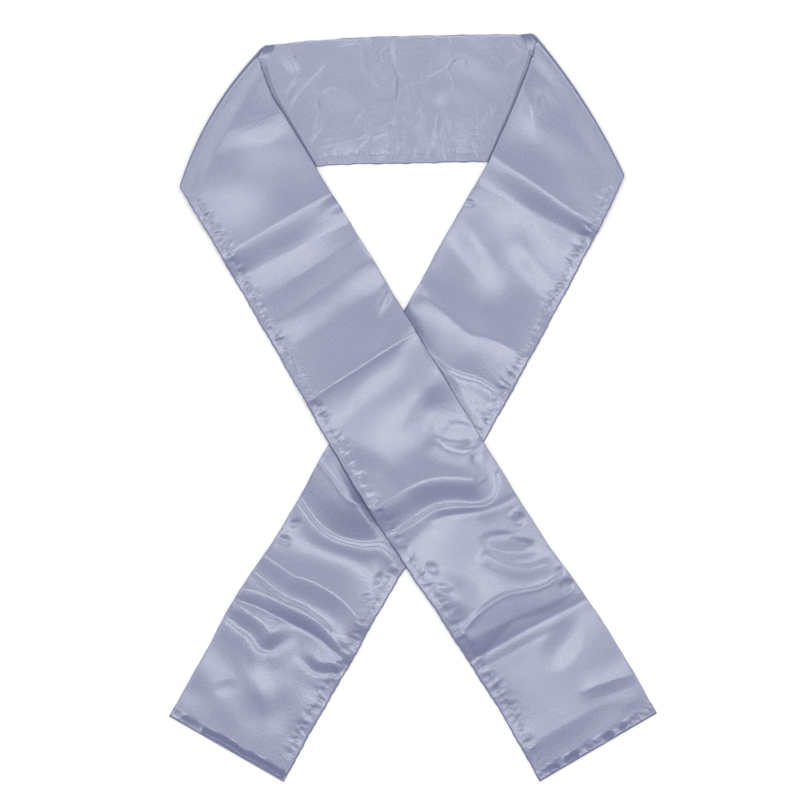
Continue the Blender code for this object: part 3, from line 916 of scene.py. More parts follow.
@dataclass(frozen=True)
class SatinFinish:
    """Woven polyester satin: long warp floats lie side by side and shine along the strip.

    The floats give a soft sheen that is bright where the cloth faces the light squarely,
    falls off quickly on slopes, and draws a thin bright line along each crease.
    """

    name: str = "woven_polyester_satin"
    colour: str = "#646988"
    slub_colour: str = "#747999"
    roughness: float = 0.2
    ior: float = 1.5
    anisotropy: float = 0.4
    sheen: float = 0.05
    thread_spacing_mm: float = 0.9
    slub_length_mm: float = 9.0
    mottle_mm: float = 1.6
    bump_mm: float = 0.1

    def make(self) -> bpy.types.Material:
        """Build the satin's node material.

        The real threads lie about 0.1 mm apart, too fine to show, so the streaks are drawn at
        thread_spacing_mm.

        Returns:
            The material.
        """
        material, tree = new_material(self.name)
        strip = add_node(tree, "ShaderNodeUVMap", uv_map="strip")
        per_thread = 1.0 / (self.thread_spacing_mm * MM)
        per_slub = 1.0 / (self.slub_length_mm * MM)
        threads = add_node(tree, "ShaderNodeMapping", {
            "Vector": strip.outputs["UV"], "Scale": (per_thread, per_slub, 1.0)})
        streaks = add_node(tree, "ShaderNodeTexNoise", {
            "Vector": threads.outputs["Vector"], "Scale": 1.0, "Detail": 2.0})
        mottle = add_node(tree, "ShaderNodeTexNoise", {
            "Vector": strip.outputs["UV"], "Scale": 1.0 / (self.mottle_mm * MM), "Detail": 3.0})
        shade = add_node(tree, "ShaderNodeMapRange", {
            "Value": mottle.outputs["Fac"], "From Min": 0.3, "From Max": 0.7})
        colour = add_node(tree, "ShaderNodeMix", {
            0: shade.outputs["Result"], 6: linear_colour(self.colour),
            7: linear_colour(self.slub_colour)}, data_type="RGBA")
        height = add_node(tree, "ShaderNodeMath", {
            0: streaks.outputs["Fac"], 1: mottle.outputs["Fac"]}, operation="ADD")
        bump = add_node(tree, "ShaderNodeBump", {
            "Height": height.outputs["Value"], "Strength": 0.6, "Distance": self.bump_mm * MM})
        grain = add_node(tree, "ShaderNodeTangent", direction_type="UV_MAP", uv_map="strip")
        shader = add_node(tree, "ShaderNodeBsdfPrincipled", {
            "Base Color": colour.outputs[2],
            "Roughness": self.roughness,
            "IOR": self.ior,
            "Anisotropic": self.anisotropy,
            "Sheen Weight": self.sheen,
            "Normal": bump.outputs["Normal"],
            "Tangent": grain.outputs["Tangent"],
        })
        add_node(tree, "ShaderNodeOutputMaterial", {"Surface": shader.outputs["BSDF"]})
        return material


@dataclass(frozen=True)
class ThreadFinish:
    """Spun polyester sewing thread, dyed to match: a shade deeper and duller than the satin."""

    name: str = "spun_polyester_thread"
    colour: str = "#6C708D"
    roughness: float = 0.6
    twist_mm: float = 0.5

    def make(self) -> bpy.types.Material:
        """Build the thread's node material, with its twist as fine bump.

        Returns:
            The material.
        """
        material, tree = new_material(self.name)
        place = add_node(tree, "ShaderNodeTexCoord")
        twist = add_node(tree, "ShaderNodeTexWave", {
            "Vector": place.outputs["Object"], "Scale": 1.0 / (self.twist_mm * MM) / 20.0,
            "Distortion": 1.0})
        bump = add_node(tree, "ShaderNodeBump", {
            "Height": twist.outputs["Fac"], "Strength": 0.4, "Distance": 0.05 * MM})
        shader = add_node(tree, "ShaderNodeBsdfPrincipled", {
            "Base Color": linear_colour(self.colour), "Roughness": self.roughness,
            "Normal": bump.outputs["Normal"]})
        add_node(tree, "ShaderNodeOutputMaterial", {"Surface": shader.outputs["BSDF"]})
        return material


@dataclass(frozen=True)
class PaperFinish:
    """Seamless matt background paper, which gives a plain white ground."""

    name: str = "matt_background_paper"
    colour: str = "#F4F4F5"

    def make(self) -> bpy.types.Material:
        """Build the paper's node material.

        Returns:
            The material.
        """
        material, tree = new_material(self.name)
        shader = add_node(tree, "ShaderNodeBsdfPrincipled", {
            "Base Color": linear_colour(self.colour), "Roughness": 0.9, "Specular IOR Level": 0.1})
        add_node(tree, "ShaderNodeOutputMaterial", {"Surface": shader.outputs["BSDF"]})
        return material


@dataclass(frozen=True)
class Ring:
    """Cross-section of the flattened tube, from the seam edge over the top and back below.

    share is the place across the strip, level the height between the plies' outer faces,
    upper marks the upper ply, and inward gives the way through the cloth, across and up.
    """

    share: Array
    edge_offset: Array
    level: Array
    upper: Array
    inward: Array

    @staticmethod
    def make(upper_count: int, lower_count: int, edge_points: int = 5) -> "Ring":
        """Lay out a ring, with the upper ply's columns closer together beside the seam.

        Args:
            upper_count: Columns of the upper ply.
            lower_count: Columns of the lower ply.
            edge_points: Points round each edge.

        Returns:
            The ring.
        """
        margin = EDGE_SPREAD / WIDTH
        even = np.linspace(0.0, 1.0, upper_count)
        wave = SEAM_CROWDING * np.sin(2.0 * math.pi * even) / (2.0 * math.pi)
        upper = margin + (1.0 - 2.0 * margin) * (even - wave * (1.0 - even))
        rows = []

        def round_bend(share: float, way: float, angles: Array) -> None:
            """Add the points round one edge."""
            for angle in angles:
                flat, rising = math.cos(angle), math.sin(angle)
                rows.append((share, way * EDGE_SPREAD * (1.0 - flat), 0.5 + 0.5 * rising, 0.0,
                             (way * flat, -rising)))

        turn = np.radians(np.linspace(-60.0, 60.0, edge_points))
        round_bend(0.0, 1.0, turn)
        rows += [(place, 0.0, 1.0, 1.0, (0.0, -1.0)) for place in upper]
        round_bend(1.0, -1.0, -turn)
        rows += [(place, 0.0, 0.0, 0.0, (0.0, 1.0))
                 for place in np.linspace(1.0 - margin, margin, lower_count)]
        return Ring(*(np.array(column) for column in zip(*rows)))

    def stitch_column(self) -> int:
        """Number of the upper ply's point that lies nearest to the stitches."""
        inset = np.where(self.upper > 0.5, self.share * WIDTH, np.inf)
        return int(np.argmin(np.abs(inset - STITCH_INSET)))


@dataclass
class Sections:
    """All sections of a stretch: plan, base height and direction through the plies."""

    x: Array
    y: Array
    base: Array
    normal: Array
    run: Array

    def stack(self, other: "Sections") -> "Sections":
        """Append the sections that follow these."""
        return Sections(*(np.concatenate((getattr(self, name), getattr(other, name)))
                          for name in ("x", "y", "base", "normal", "run")))


def upright(shape: tuple[int, ...], way: float) -> Array:
    """Directions straight up, or straight down where way is -1."""
    return np.zeros(shape + (3,)) + np.array((0.0, 0.0, way))


def make_mesh_object(name: str, points: Array, quads: Array,
                     caps: list[list[int]] | None = None) -> bpy.types.Object:
    """Make a mesh object, turned so that its faces point out.

    Args:
        name: The piece's name.
        points: Vertices in the plan, in millimetres.
        quads: Four vertex numbers a face.
        caps: Faces with other numbers of corners.

    Returns:
        The object, in metres, in the part's frame.
    """
    moved = (points - np.array((PLAN_SHIFT_X, PLAN_SHIFT_Y, 0.0))) * MM
    first, second, third, fourth = (moved[quads[:, corner]] for corner in range(4))
    volume = np.einsum("ij,ij->i", first, np.cross(second, third)).sum()
    volume += np.einsum("ij,ij->i", first, np.cross(third, fourth)).sum()
    faces = quads[:, ::-1] if volume < 0.0 else quads
    extra = [list(reversed(cap)) if volume < 0.0 else cap for cap in (caps or [])]
    mesh = bpy.data.meshes.new(name)
    mesh.from_pydata(moved.tolist(), [], faces.tolist() + extra)
    mesh.update()
    mesh.shade_smooth()
    mesh.set_sharp_from_angle(angle=math.radians(SHARP_EDGE))
    made = bpy.data.objects.new(name, mesh)
    bpy.context.scene.collection.objects.link(made)
    return made


def set_strip_places(made: bpy.types.Object, places: Array) -> None:
    """Store each vertex's place on the strip as the UVs of its corners.

    Args:
        made: The piece.
        places: Two coordinates a vertex, in metres.
    """
    layer = made.data.uv_layers.new(name="strip")
    corners = np.empty(len(made.data.loops), np.int32)
    made.data.loops.foreach_get("vertex_index", corners)
    layer.data.foreach_set("uv", places.astype(np.float32)[corners].reshape(-1))


def grid_quads(rows: int, columns: int, start: int = 0) -> Array:
    """Faces of a grid of points whose columns close into a ring.

    Args:
        rows: Number of sections.
        columns: Number of points in each ring.
        start: Number of the grid's first vertex.

    Returns:
        Four vertex numbers a face.
    """
    row = np.arange(rows - 1)[:, None]
    column = np.arange(columns)[None, :]
    following = (column + 1) % columns
    first = start + row * columns + column
    second = start + row * columns + following
    third = start + (row + 1) * columns + following
    fourth = start + (row + 1) * columns + column
    return np.stack((first, second, third, fourth), axis=-1).reshape(-1, 4)


@dataclass
class SatinTube:
    """A stretch of the flattened tube as a thin shell with both its faces."""

    name: str
    ring: Ring
    sections: Sections
    relief: Array
    outer: Array = field(init=False)

    def surface(self) -> tuple[Array, Array]:
        """Lay out both faces of the cloth.

        Returns:
            Outer and inner face as grids of points.
        """
        cut = self.sections
        seam_to_fold = np.stack((cut.x[:, self._fold_column()] - cut.x[:, 2],
                                 cut.y[:, self._fold_column()] - cut.y[:, 2]), axis=-1)
        across = seam_to_fold / np.linalg.norm(seam_to_fold, axis=1, keepdims=True)
        flat = np.zeros(cut.x.shape + (3,))
        flat[..., 0] = cut.x + across[:, None, 0] * self.ring.edge_offset
        flat[..., 1] = cut.y + across[:, None, 1] * self.ring.edge_offset
        flat[..., 2] = cut.base
        height = self.ring.level * FLAT_HEIGHT + self.relief * self.ring.upper
        outer = flat + cut.normal * height[..., None]
        through = cut.normal * self.ring.inward[:, 1][None, :, None]
        sideways = np.concatenate((across, np.zeros((len(across), 1))), axis=1)[:, None, :]
        through = through + sideways * self.ring.inward[:, 0][None, :, None]
        return outer, outer + through * CLOTH_THICKNESS

    def _fold_column(self) -> int:
        """Number of a ring point on the folded edge."""
        return int(np.argmax(self.ring.share >= 1.0)) + 2

    def make(self) -> bpy.types.Object:
        """Build the shell as one closed mesh with the strip's own coordinates.

        Returns:
            The object.
        """
        outer, inner = self.surface()
        self.outer = outer
        rows, columns = outer.shape[:2]
        points = np.concatenate((outer.reshape(-1, 3), inner.reshape(-1, 3)))
        inside = rows * columns
        quads = [grid_quads(rows, columns), grid_quads(rows, columns, inside)[:, ::-1]]
        column = np.arange(columns)
        following = (column + 1) % columns
        last = (rows - 1) * columns
        quads.append(np.stack((inside + column, inside + following, following, column), axis=-1))
        quads.append(np.stack((last + column, last + following, inside + last + following,
                               inside + last + column), axis=-1))
        made = make_mesh_object(self.name, points, np.concatenate(quads))
        set_strip_places(made, np.concatenate((self._strip_places(),) * 2))
        return made

    def _strip_places(self) -> Array:
        """Place of each of the outer face's points along and across the strip, in metres."""
        rows, columns = self.outer.shape[:2]
        steps = np.linalg.norm(np.diff(self.outer[:, columns // 3], axis=0), axis=1)
        along = np.concatenate(([0.0], np.cumsum(steps)))
        round_steps = np.linalg.norm(np.diff(self.outer[rows // 2], axis=0), axis=1)
        around = np.concatenate(([0.0], np.cumsum(round_steps)))
        grid = np.broadcast_arrays(around[None, :] * MM, along[:, None] * MM)
        return np.stack(grid, axis=-1).reshape(-1, 2)


@dataclass
class Stitches:
    """A row of topstitches lying on the satin."""

    name: str
    path: Array
    pitch: float = 3.2
    length: float = 2.5
    radius: float = 0.15

    def make(self, material: bpy.types.Material) -> bpy.types.Object:
        """Build all stitches as one mesh.

        Args:
            material: The thread's material.

        Returns:
            The object.
        """
        steps = np.linalg.norm(np.diff(self.path, axis=0), axis=1)
        marks = np.concatenate(([0.0], np.cumsum(steps)))
        starts = np.arange(self.pitch, marks[-1] - self.pitch, self.pitch)
        profile = ((0.0, 0.35), (0.18, 0.85), (0.5, 1.0), (0.82, 0.85), (1.0, 0.35))
        sides = 6
        points, quads, caps = [], [], []

        def spot(mark: float) -> Array:
            """Point of the path at a mark."""
            return np.array([np.interp(mark, marks, self.path[:, axis]) for axis in range(3)])

        for start in starts:
            base = len(points)
            for share, swell in profile:
                centre = spot(start + share * self.length)
                ahead = spot(start + share * self.length + 0.5)
                forward = (ahead - centre) / np.linalg.norm(ahead - centre)
                beside = np.cross(forward, (0.0, 0.0, 1.0))
                beside /= np.linalg.norm(beside)
                upward = np.cross(beside, forward)
                for number in range(sides):
                    angle = 2.0 * math.pi * number / sides
                    out = beside * math.cos(angle) + upward * math.sin(angle)
                    points.append(centre + out * self.radius * swell + upward * self.radius * 0.3)
            for ring in range(len(profile) - 1):
                for number in range(sides):
                    following = (number + 1) % sides
                    low = base + ring * sides
                    quads.append((low + number, low + following, low + sides + following,
                                  low + sides + number))
            caps.append([base + number for number in reversed(range(sides))])
            caps.append([base + (len(profile) - 1) * sides + number for number in range(sides)])
        made = make_mesh_object(self.name, np.array(points), np.array(quads), caps)
        made.data.materials.append(material)
        return made


@dataclass
class SatinLeg:
    """One leg with its fold: shell, turned end and topstitching."""

    name: str
    plan: LegPlan
    folds: tuple[Fold, ...]
    swells: tuple[Swell, ...]
    satin: bpy.types.Material
    thread: bpy.types.Material
    flat_length: float
    rests_on: list[str]
    hem_grooves: tuple[tuple[float, float, float], ...]
    lift: tuple[Swell, ...] = ()
    pucker_seed: int = 5
    row_step: float = 1.6
    upper_count: int = 72
    lower_count: int = 9
    under_rows: int = 6
    roll_rows: int = 25

    def resting(self, x: Array, y: Array) -> Array:
        """Height of the leg's underside above the table, without its roll.

        Args:
            x: Places along X.
            y: Places along Y.

        Returns:
            The height at each place.
        """
        outside_neck = neck_seam_height(x) - y
        height = pile_height(outside_neck)
        if self.plan.layer is Layer.OVER:
            height = np.maximum(height, pile_height(RIGHT_PLAN.outside(x, y)))
        for swell in self.lift:
            height = height + swell.height(x, y)
        return height

    def underside(self, x: Array, y: Array, share: Array) -> Array:
        """Height of the leg's underside, with its rise towards the roll.

        Args:
            x: Places along X.
            y: Places along Y.
            share: Shares across the strip.

        Returns:
            The height at each place.
        """
        radius = self.plan.radius(share)
        inward = self.plan.depth(x, y) - self.plan.reach_out(share)
        down_share = np.clip(inward / ROLL_FADE, 0.0, 1.0)
        rise = 2.0 * radius - FLAT_HEIGHT - STACK_HEIGHT
        return self.resting(x, y) + rise * 0.5 * (1.0 + np.cos(math.pi * down_share))

    def roll_plan(self, angle: float, share: Array) -> tuple[Array, Array]:
        """Plan of the roll's centre line.

        Args:
            angle: Angle round the roll in degrees, 90 at its top.
            share: Shares across the strip.

        Returns:
            The line's two coordinates.
        """
        along, outward, _length = self.plan.fold_axes()
        slip = (self.plan.slip_above if angle > 0.0 else self.plan.slip_below) * angle / 90.0
        x, y = self.plan.fold_point(share)
        inward = self.plan.reach_out(share)
        return x + along[0] * slip - outward[0] * inward, y + along[1] * slip - outward[1] * inward

    def under_sections(self, share: Array) -> Sections:
        """Lay out the sections under the fold, from the cut to the roll.

        Args:
            share: Shares across the strip.

        Returns:
            The sections.
        """
        part = np.linspace(0.0, 1.0, self.under_rows, endpoint=False)[:, None]
        start_x, start_y = self.roll_plan(-90.0, share)
        cut_x = mix(self.plan.cut_corner[0], self.plan.cut_tip[0], share)
        cut_y = mix(self.plan.cut_corner[1], self.plan.cut_tip[1], share)
        x = mix(cut_x, start_x, part)
        y = mix(cut_y, start_y, part)
        return Sections(x, y, np.full(x.shape, FLAT_HEIGHT), upright(x.shape, -1.0),
                        self.plan.place(x, y)[0])

    def roll_sections(self, share: Array) -> Sections:
        """Lay out the sections round the fold's roll.

        Args:
            share: Shares across the strip.

        Returns:
            The sections.
        """
        outward = self.plan.fold_axes()[1]
        radius = self.plan.radius(share)
        width = self.plan.reach_out(share)
        parts = []
        for angle in np.linspace(-90.0, 90.0, self.roll_rows):
            level = math.cos(math.radians(angle)) ** (2.0 / ROLL_POWER)
            climb = math.copysign(abs(math.sin(math.radians(angle))) ** (2.0 / ROLL_POWER), angle)
            x, y = self.roll_plan(float(angle), share)
            facing = level ** (ROLL_POWER - 1.0) / width
            rising = math.copysign(abs(climb) ** (ROLL_POWER - 1.0), climb) / radius
            size = np.hypot(facing, rising)
            flat, up = facing / size, rising / size
            normal = np.stack((outward[0] * flat, outward[1] * flat, up), axis=-1)
            x = x + outward[0] * (level * width - flat * FLAT_HEIGHT)
            y = y + outward[1] * (level * width - flat * FLAT_HEIGHT)
            base = radius + climb * radius - up * FLAT_HEIGHT
            parts.append(Sections(x[None], y[None], base[None], normal[None],
                                  self.plan.place(x, y)[0][None]))
        return reduce(Sections.stack, parts)

    def turning_sections(self, share: Array) -> Sections:
        """Lay out the sections between the roll's top and the first square one.

        Args:
            share: Shares across the strip.

        Returns:
            The sections.
        """
        top_x, top_y = self.roll_plan(90.0, share)
        corner_run = self.plan.place(top_x[0], top_y[0])[0]
        edge = int(np.argmax(share))
        tip_run = self.plan.place(top_x[edge], top_y[edge])[0]
        count = int((TURN_END - tip_run) / self.row_step)
        part = np.linspace(0.0, 1.0, count + 1)[1:, None]
        start_x, start_y = self._between_edges(corner_run, tip_run, share)
        x, y = self._between_edges(mix(corner_run, TURN_END, part),
                                   mix(tip_run, TURN_END, part), share)
        left = (1.0 - part) ** 3
        x = x + (top_x - start_x) * left
        y = y + (top_y - start_y) * left
        return self._lying(x, y, share)

    def _between_edges(self, seam_run: Array, fold_run: Array, share: Array) -> tuple[Array, Array]:
        """Lay out lines from the seam edge to the folded edge.

        Args:
            seam_run: Run of each line's end on the seam edge.
            fold_run: Run of each line's end on the folded edge.
            share: Shares across the strip.

        Returns:
            The points' two coordinates.
        """
        plan = self.plan
        seam = plan.reaches(seam_run)[0] + plan.wobble(seam_run)[0]
        fold = plan.reaches(fold_run)[1] + plan.wobble(fold_run)[1]
        seam_x, seam_y = plan.point(seam_run, seam)
        fold_x, fold_y = plan.point(fold_run, fold)
        return mix(seam_x, fold_x, share), mix(seam_y, fold_y, share)

    def square_sections(self, share: Array) -> Sections:
        """Lay out the sections square to the leg, down to its turned end.

        Args:
            share: Shares across the strip.

        Returns:
            The sections.
        """
        end = self.plan.length - HEM_DEPTH
        count = int((end - TURN_END) / self.row_step)
        runs = np.linspace(TURN_END, end, count + 1)[1:, None]
        x, y = self._between_edges(runs, runs, share)
        return self._lying(x, y, share)

    def _lying(self, x: Array, y: Array, share: Array) -> Sections:
        """Make sections that lie face up at these places."""
        return Sections(x, y, self.underside(x, y, share), upright(x.shape, 1.0),
                        self.plan.place(x, y)[0])

    def relief(self, cut: Sections, share: Array) -> tuple[Array, Array]:
        """Rise of the leg above its flat height.

        Args:
            cut: The leg's sections.
            share: Places across the strip.

        Returns:
            Lift of both plies, which carries each fold out to the edges, and the upper ply's
            rise above it.
        """
        down = self.plan.down()
        folds = np.zeros(cut.x.shape)
        for fold in self.folds:
            folds += fold.height(cut.x, cut.y, *down)
        puff = np.zeros(cut.x.shape)
        for swell in self.swells:
            puff += swell.height(cut.x, cut.y)
        puff += Ripple(seed=self.pucker_seed, rise=0.23, shortest=40.0, longest=100.0,
                       heading=self.plan.heading - 90.0, spread=62.0).height(cut.x, cut.y)
        inset = share * WIDTH
        edge = 1.0 - smooth((np.minimum(inset, WIDTH - inset) - EDGE_HOLD) / EDGE_FADE)
        dress_seam(puff, cut.run, inset, Puckers(self.pucker_seed, depth=0.26, reach=14.0))
        calm = smooth((self.plan.depth(cut.x, cut.y) - self.plan.reach_out(share)) / ROLL_CALM)
        if self.plan.layer is Layer.UNDER:
            calm = calm * smooth((LEFT_PLAN.outside(cut.x, cut.y) - RELIEF_HOLD) / RELIEF_FADE)
        at_hem = smooth((self.plan.length - HEM_DEPTH - cut.run) / HEM_CALM)
        lift = np.maximum(folds, 0.0) * edge * calm * at_hem
        rise = (BODY_RISE * plump(inset) + (folds + puff) * at_hem) * calm - lift
        return lift, np.maximum(rise, LOWEST)

    def build(self) -> list[bpy.types.Object]:
        """Build and dress the leg's pieces.

        Returns:
            The pieces.
        """
        ring = Ring.make(self.upper_count, self.lower_count)
        lying = self.turning_sections(ring.share).stack(self.square_sections(ring.share))
        curled = self.under_sections(ring.share).stack(self.roll_sections(ring.share))
        lift, rise = self.relief(lying, ring.share)
        lying.base = lying.base + lift
        relief = np.concatenate((np.zeros(curled.x.shape), rise))
        tube = SatinTube(self.name + "_satin", ring, curled.stack(lying), relief)
        shell = tube.make()
        shell.data.materials.append(self.satin)
        hem = EndHem(self.name.replace("leg", "end") + "_hem_satin", self.plan, self.satin,
                     self.pucker_seed, self.hem_grooves).build()
        path = tube.outer[len(curled.x) + 2:, ring.stitch_column()]
        stitches = Stitches(self.name + "_topstitch", path).make(self.thread)
        for piece in (shell, hem, stitches):
            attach(piece, "root")
        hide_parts(self.name)
        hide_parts(self.name.replace("leg", "end_hem"))
        return [shell, hem, stitches]


@dataclass
class EndHem:
    """Turned-in, topstitched end of a leg: four plies pressed together, a little wavy."""

    name: str
    plan: LegPlan
    satin: bpy.types.Material
    seed: int
    grooves: tuple[tuple[float, float, float], ...]
    columns: int = 190
    face_rows: int = 22

    def profile(self, share: Array) -> tuple[Array, Array]:
        """Outline of the hem at each place across the leg.

        Args:
            share: Shares across the strip.

        Returns:
            Depth from the hem's start and height of each point.
        """
        tip = np.radians([25.0, 50.0, 75.0, 90.0, 150.0])
        down = np.concatenate((np.linspace(0.0, HEM_DEPTH - 1.0, self.face_rows),
                               HEM_DEPTH - EDGE_SPREAD + EDGE_SPREAD * np.sin(tip),
                               (HEM_DEPTH - 2.0, HEM_DEPTH * 0.5, 0.0)))
        height = np.concatenate((np.full(self.face_rows, FLAT_HEIGHT),
                                 EDGE_RADIUS + EDGE_RADIUS * np.cos(tip), np.zeros(3)))
        depth = np.tile(down, (len(share), 1))
        level = np.tile(height, (len(share), 1))
        draw = np.random.default_rng(self.seed)
        place = share[:, None] * WIDTH
        wave = np.zeros(depth.shape)
        for length, strength in HEM_WAVES:
            lean = draw.uniform(-0.12, 0.12)
            turns = place / length + depth * lean
            wave += strength * np.sin(2.0 * math.pi * turns + draw.uniform(0.0, 6.28))
        pull = np.zeros(place.shape)
        drift = np.zeros(place.shape)
        for first, last, strength in self.grooves:
            starts = smooth((place / WIDTH - first) / GROOVE_END)
            pull += strength * starts * smooth((last - place / WIDTH) / GROOVE_END)
        for length in GROOVE_DRIFTS:
            angle = 2.0 * math.pi * place / length + draw.uniform(0.0, 6.28)
            drift += np.sin(angle) * length * GROOVE_DRIFT_SHARE
        middle = HEM_DEPTH * GROOVE_PLACE
        before = 1.0 - smooth((middle + drift - depth) / (HEM_DEPTH * GROOVE_REACH))
        after = 1.0 - smooth((depth - middle - drift) / GROOVE_FAR_SIDE)
        face = np.zeros(depth.shape)
        face[:, :self.face_rows + 1] = 1.0
        edge = smooth((HEM_DEPTH - depth) / 1.6)
        level = level + face * edge * BODY_RISE * plump(place)
        pressed = wave - GROOVE_DEPTH * before * after * pull
        level = level + face * edge * smooth(depth / HEM_WAVES_START) * pressed
        return depth, level

    def build(self) -> bpy.types.Object:
        """Build the hem as a closed band.

        Returns:
            The object.
        """
        share = np.linspace(0.0, 1.0, self.columns)
        depth, level = self.profile(share)
        run = self.plan.length - HEM_DEPTH + depth
        ends = np.where((share == 0.0) | (share == 1.0), 0.35, 1.0)[:, None]
        level = EDGE_RADIUS + (level - EDGE_RADIUS) * ends
        seam, fold = self.plan.reaches(run)
        x, y = self.plan.point(run, mix(seam, fold, share[:, None]))
        points = np.stack((x, y, level), axis=-1)
        rows, count = x.shape
        quads = grid_quads(rows, count)
        caps = [list(range(count)), list(reversed(range((rows - 1) * count, rows * count)))]
        made = make_mesh_object(self.name, points.reshape(-1, 3), quads, caps)
        places = np.stack((mix(seam, fold, share[:, None]), run), axis=-1).reshape(-1, 2) * MM
        set_strip_places(made, places)
        made.data.materials.append(self.satin)
        return made


@dataclass
class SatinNeck:
    """The neck band between both folds: shell and topstitching."""

    satin: bpy.types.Material
    thread: bpy.types.Material
    rows: int = 300
    upper_count: int = 104
    lower_count: int = 13

    def sections(self, share: Array) -> Sections:
        """Lay out the sections from the left cut to the right one.

        Args:
            share: Shares across the strip.

        Returns:
            The sections.
        """
        numbers = list(range(len(NECK_STATIONS)))
        places = np.linspace(0.0, numbers[-1], self.rows)[:, None]
        seam_x, seam_y, fold_x, fold_y = (
            read_curve(numbers, [getattr(row, column) for row in NECK_STATIONS], places)
            for column in ("seam_x", "seam_y", "fold_x", "fold_y"))
        seam_y = seam_y + 0.25 * np.sin(seam_x / 4.6) + 0.2 * np.sin(seam_x / 2.3 + 1.0)
        fold_y = fold_y + 0.22 * np.sin(fold_x / 6.1) + 0.16 * np.sin(fold_x / 2.7 + 2.0)
        x = mix(seam_x, fold_x, share)
        y = mix(seam_y, fold_y, share)
        return Sections(x, y, np.zeros(x.shape), upright(x.shape, 1.0), x)

    def relief(self, cut: Sections, share: Array) -> Array:
        """Rise of the upper ply above its flat height.

        Args:
            cut: The neck band's sections.
            share: Shares across the strip.

        Returns:
            The rise at each point.
        """
        rise = np.full(cut.x.shape, BODY_RISE)
        for fold in NECK_FOLDS:
            rise += fold.height(cut.x, cut.y, 1.0, 0.0)
        slack = Ripple(seed=4, rise=0.45, shortest=34.0, longest=84.0, heading=30.0, spread=80.0)
        rise += slack.height(cut.x, cut.y)
        rise = NECK_LEAST + np.log1p(np.exp((rise - NECK_LEAST) * NECK_KNEE)) / NECK_KNEE
        for swell in NECK_SWELLS:
            rise += swell.height(cut.x, cut.y)
        slow = Ripple(seed=21, rise=0.9, shortest=46.0, longest=90.0, heading=20.0, spread=90.0)
        for seed, strength in ((3, 0.26), (8, 0.21)):
            pattern = Ripple(seed=seed, rise=1.0, shortest=34.0, longest=84.0, heading=10.0,
                             spread=80.0)
            rise += Creases(pattern, slow, rise=strength, width=1.15).height(cut.x, cut.y)
        inset = share * WIDTH
        dress_seam(rise, cut.run, inset, Puckers(seed=9, depth=0.22, reach=13.0))
        rise = np.maximum(rise, LOWEST)
        for plan in (LEFT_PLAN, RIGHT_PLAN):
            outside = plan.outside(cut.x, cut.y)
            rise *= smooth((outside + 4.0) / NECK_FADE)
            width = TUCK_WIDTH + TUCK_WIDENING * smooth((cut.y - 250.0) / 120.0)
            rise -= NECK_TUCK * (1.0 - smooth((outside + 1.0) / width))
        return rise

    def build(self) -> list[bpy.types.Object]:
        """Build and dress the neck band's pieces.

        Returns:
            The pieces.
        """
        ring = Ring.make(self.upper_count, self.lower_count)
        cut = self.sections(ring.share)
        tube = SatinTube("neck_band_satin", ring, cut, self.relief(cut, ring.share))
        shell = tube.make()
        shell.data.materials.append(self.satin)
        path = tube.outer[8:-8, ring.stitch_column()]
        stitches = Stitches("neck_band_topstitch", path).make(self.thread)
        for piece in (shell, stitches):
            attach(piece, "root")
        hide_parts("neck_band")
        return [shell, stitches]


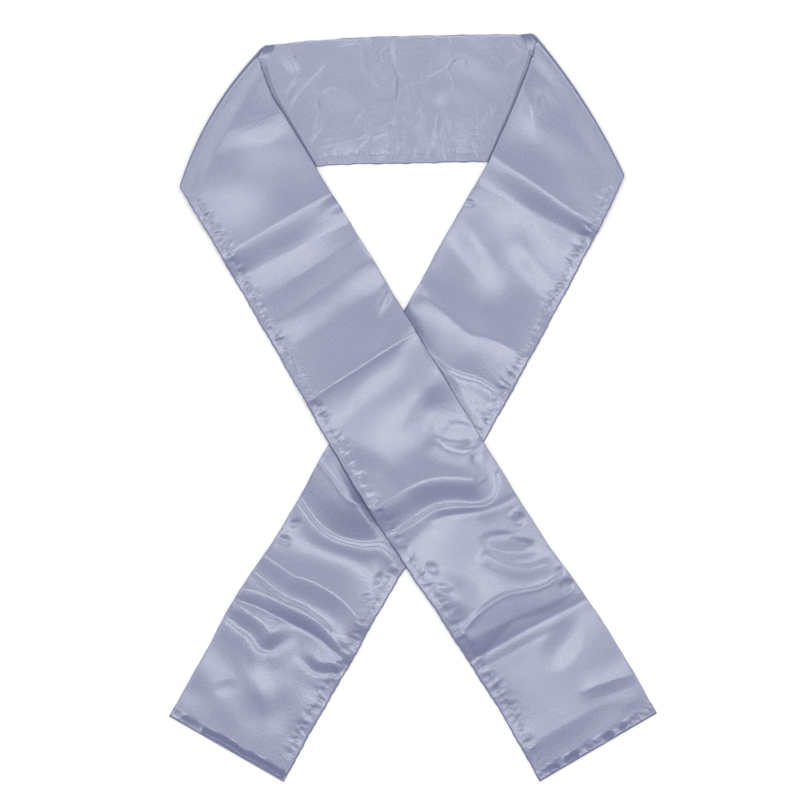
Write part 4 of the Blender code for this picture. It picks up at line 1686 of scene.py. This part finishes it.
@dataclass
class Studio:
    """Ground, soft light and the camera straight above."""

    centre_x: float = -13.0
    centre_y: float = 8.1
    lens: float = 500.0
    sensor: float = 36.0
    view_width: float = 800.0
    cloth_height: float = 4.0
    world_colour: str = "#FFFFFF"
    world_strength: float = 0.52

    def ground(self) -> bpy.types.Object:
        """Lay the plain pale ground just under the cloth.

        Returns:
            The ground.
        """
        bpy.ops.mesh.primitive_plane_add(size=6.0, location=(0.0, 0.0, -0.0004))
        made = bpy.context.object
        made.name = "paper_ground"
        made.data.materials.append(PaperFinish().make())
        return made

    def softbox(self, name: str, x: float, y: float, z: float, width: float, depth: float,
                power: float) -> None:
        """Add a soft rectangular light that faces the middle of the scarf.

        Args:
            name: The light's name.
            x: Place to the right, in metres.
            y: Place towards the neck band, in metres.
            z: Height, in metres.
            width: Size along X before turning.
            depth: Size along Y before turning.
            power: Radiant power in watts.
        """
        data = bpy.data.lights.new(name, "AREA")
        data.shape = "RECTANGLE"
        data.size = width
        data.size_y = depth
        data.energy = power
        light = bpy.data.objects.new(name, data)
        light.location = (x, y, z)
        distance = math.hypot(y, z)
        light.rotation_euler = (-math.atan2(y, z), math.atan2(x, distance), 0.0)
        bpy.context.scene.collection.objects.link(light)

    def lights(self) -> None:
        """Set up the soft light: strip boxes on three sides, a wide box and a lamp overhead.

        Slopes that face the neck side catch the strip box, and slopes that face down the scarf
        catch no light but the even fill, which gives satin its dark troughs.
        """
        self.softbox("softbox_top", 0.0, 1.2, 4.6, 3.4, 0.3, 88.0)
        self.softbox("softbox_left", -0.9, 0.0, 4.6, 0.24, 1.4, 18.0)
        self.softbox("softbox_right", 0.9, 0.0, 4.6, 0.24, 1.4, 18.0)
        self.softbox("softbox_overhead", 0.0, -0.4, 4.7, 3.0, 2.2, 15.0)
        self.softbox("lamp_by_camera", 0.0, -0.15, 4.6, 0.5, 0.34, 19.5)
        world = bpy.data.worlds.new("soft_fill")
        world.use_nodes = True
        background = world.node_tree.nodes["Background"]
        background.inputs["Color"].default_value = linear_colour(self.world_colour)
        background.inputs["Strength"].default_value = self.world_strength
        bpy.context.scene.world = world

    def camera(self) -> None:
        """Camera straight above, as in the photo."""
        data = bpy.data.cameras.new("top_view")
        data.lens = self.lens
        data.sensor_width = self.sensor
        camera = bpy.data.objects.new("top_view", data)
        height = self.view_width * self.lens / self.sensor + self.cloth_height
        camera.location = (self.centre_x * MM, self.centre_y * MM, height * MM)
        bpy.context.scene.collection.objects.link(camera)
        data.clip_end = 50.0
        bpy.context.scene.camera = camera


def main() -> None:
    """Build every sub-assembly in order and report each piece."""
    logging.basicConfig(level=logging.INFO, format="%(message)s")
    bpy.context.scene.view_settings.view_transform = "Standard"
    studio = Studio()
    studio.ground()
    studio.lights()
    studio.camera()
    satin = SatinFinish().make()
    thread = ThreadFinish().make()
    assemblies = (
        SatinNeck(satin, thread),
        SatinLeg("right_leg", RIGHT_PLAN, RIGHT_FOLDS, RIGHT_SWELLS, satin, thread,
                 flat_length=0.76, rests_on=["paper_ground", "neck_band_satin"], pucker_seed=17,
                 hem_grooves=((0.0, 0.74, 1.15), (0.74, 0.92, 0.5))),
        SatinLeg("left_leg", LEFT_PLAN, LEFT_FOLDS, LEFT_SWELLS, satin, thread,
                 flat_length=0.76, rests_on=["paper_ground", "neck_band_satin", "right_leg_satin"],
                 hem_grooves=((0.08, 0.2, 0.7), (0.22, 0.36, 0.8), (0.4, 0.47, 0.4),
                              (0.56, 0.66, 0.8), (0.69, 0.77, 0.5), (0.0, 1.0, 0.12)),
                 lift=LEFT_LIFT),
    )
    for assembly in assemblies:
        for piece in assembly.build():
            log.info("%s: %d faces", piece.name, len(piece.data.polygons))


if __name__ == "__main__":
    main()
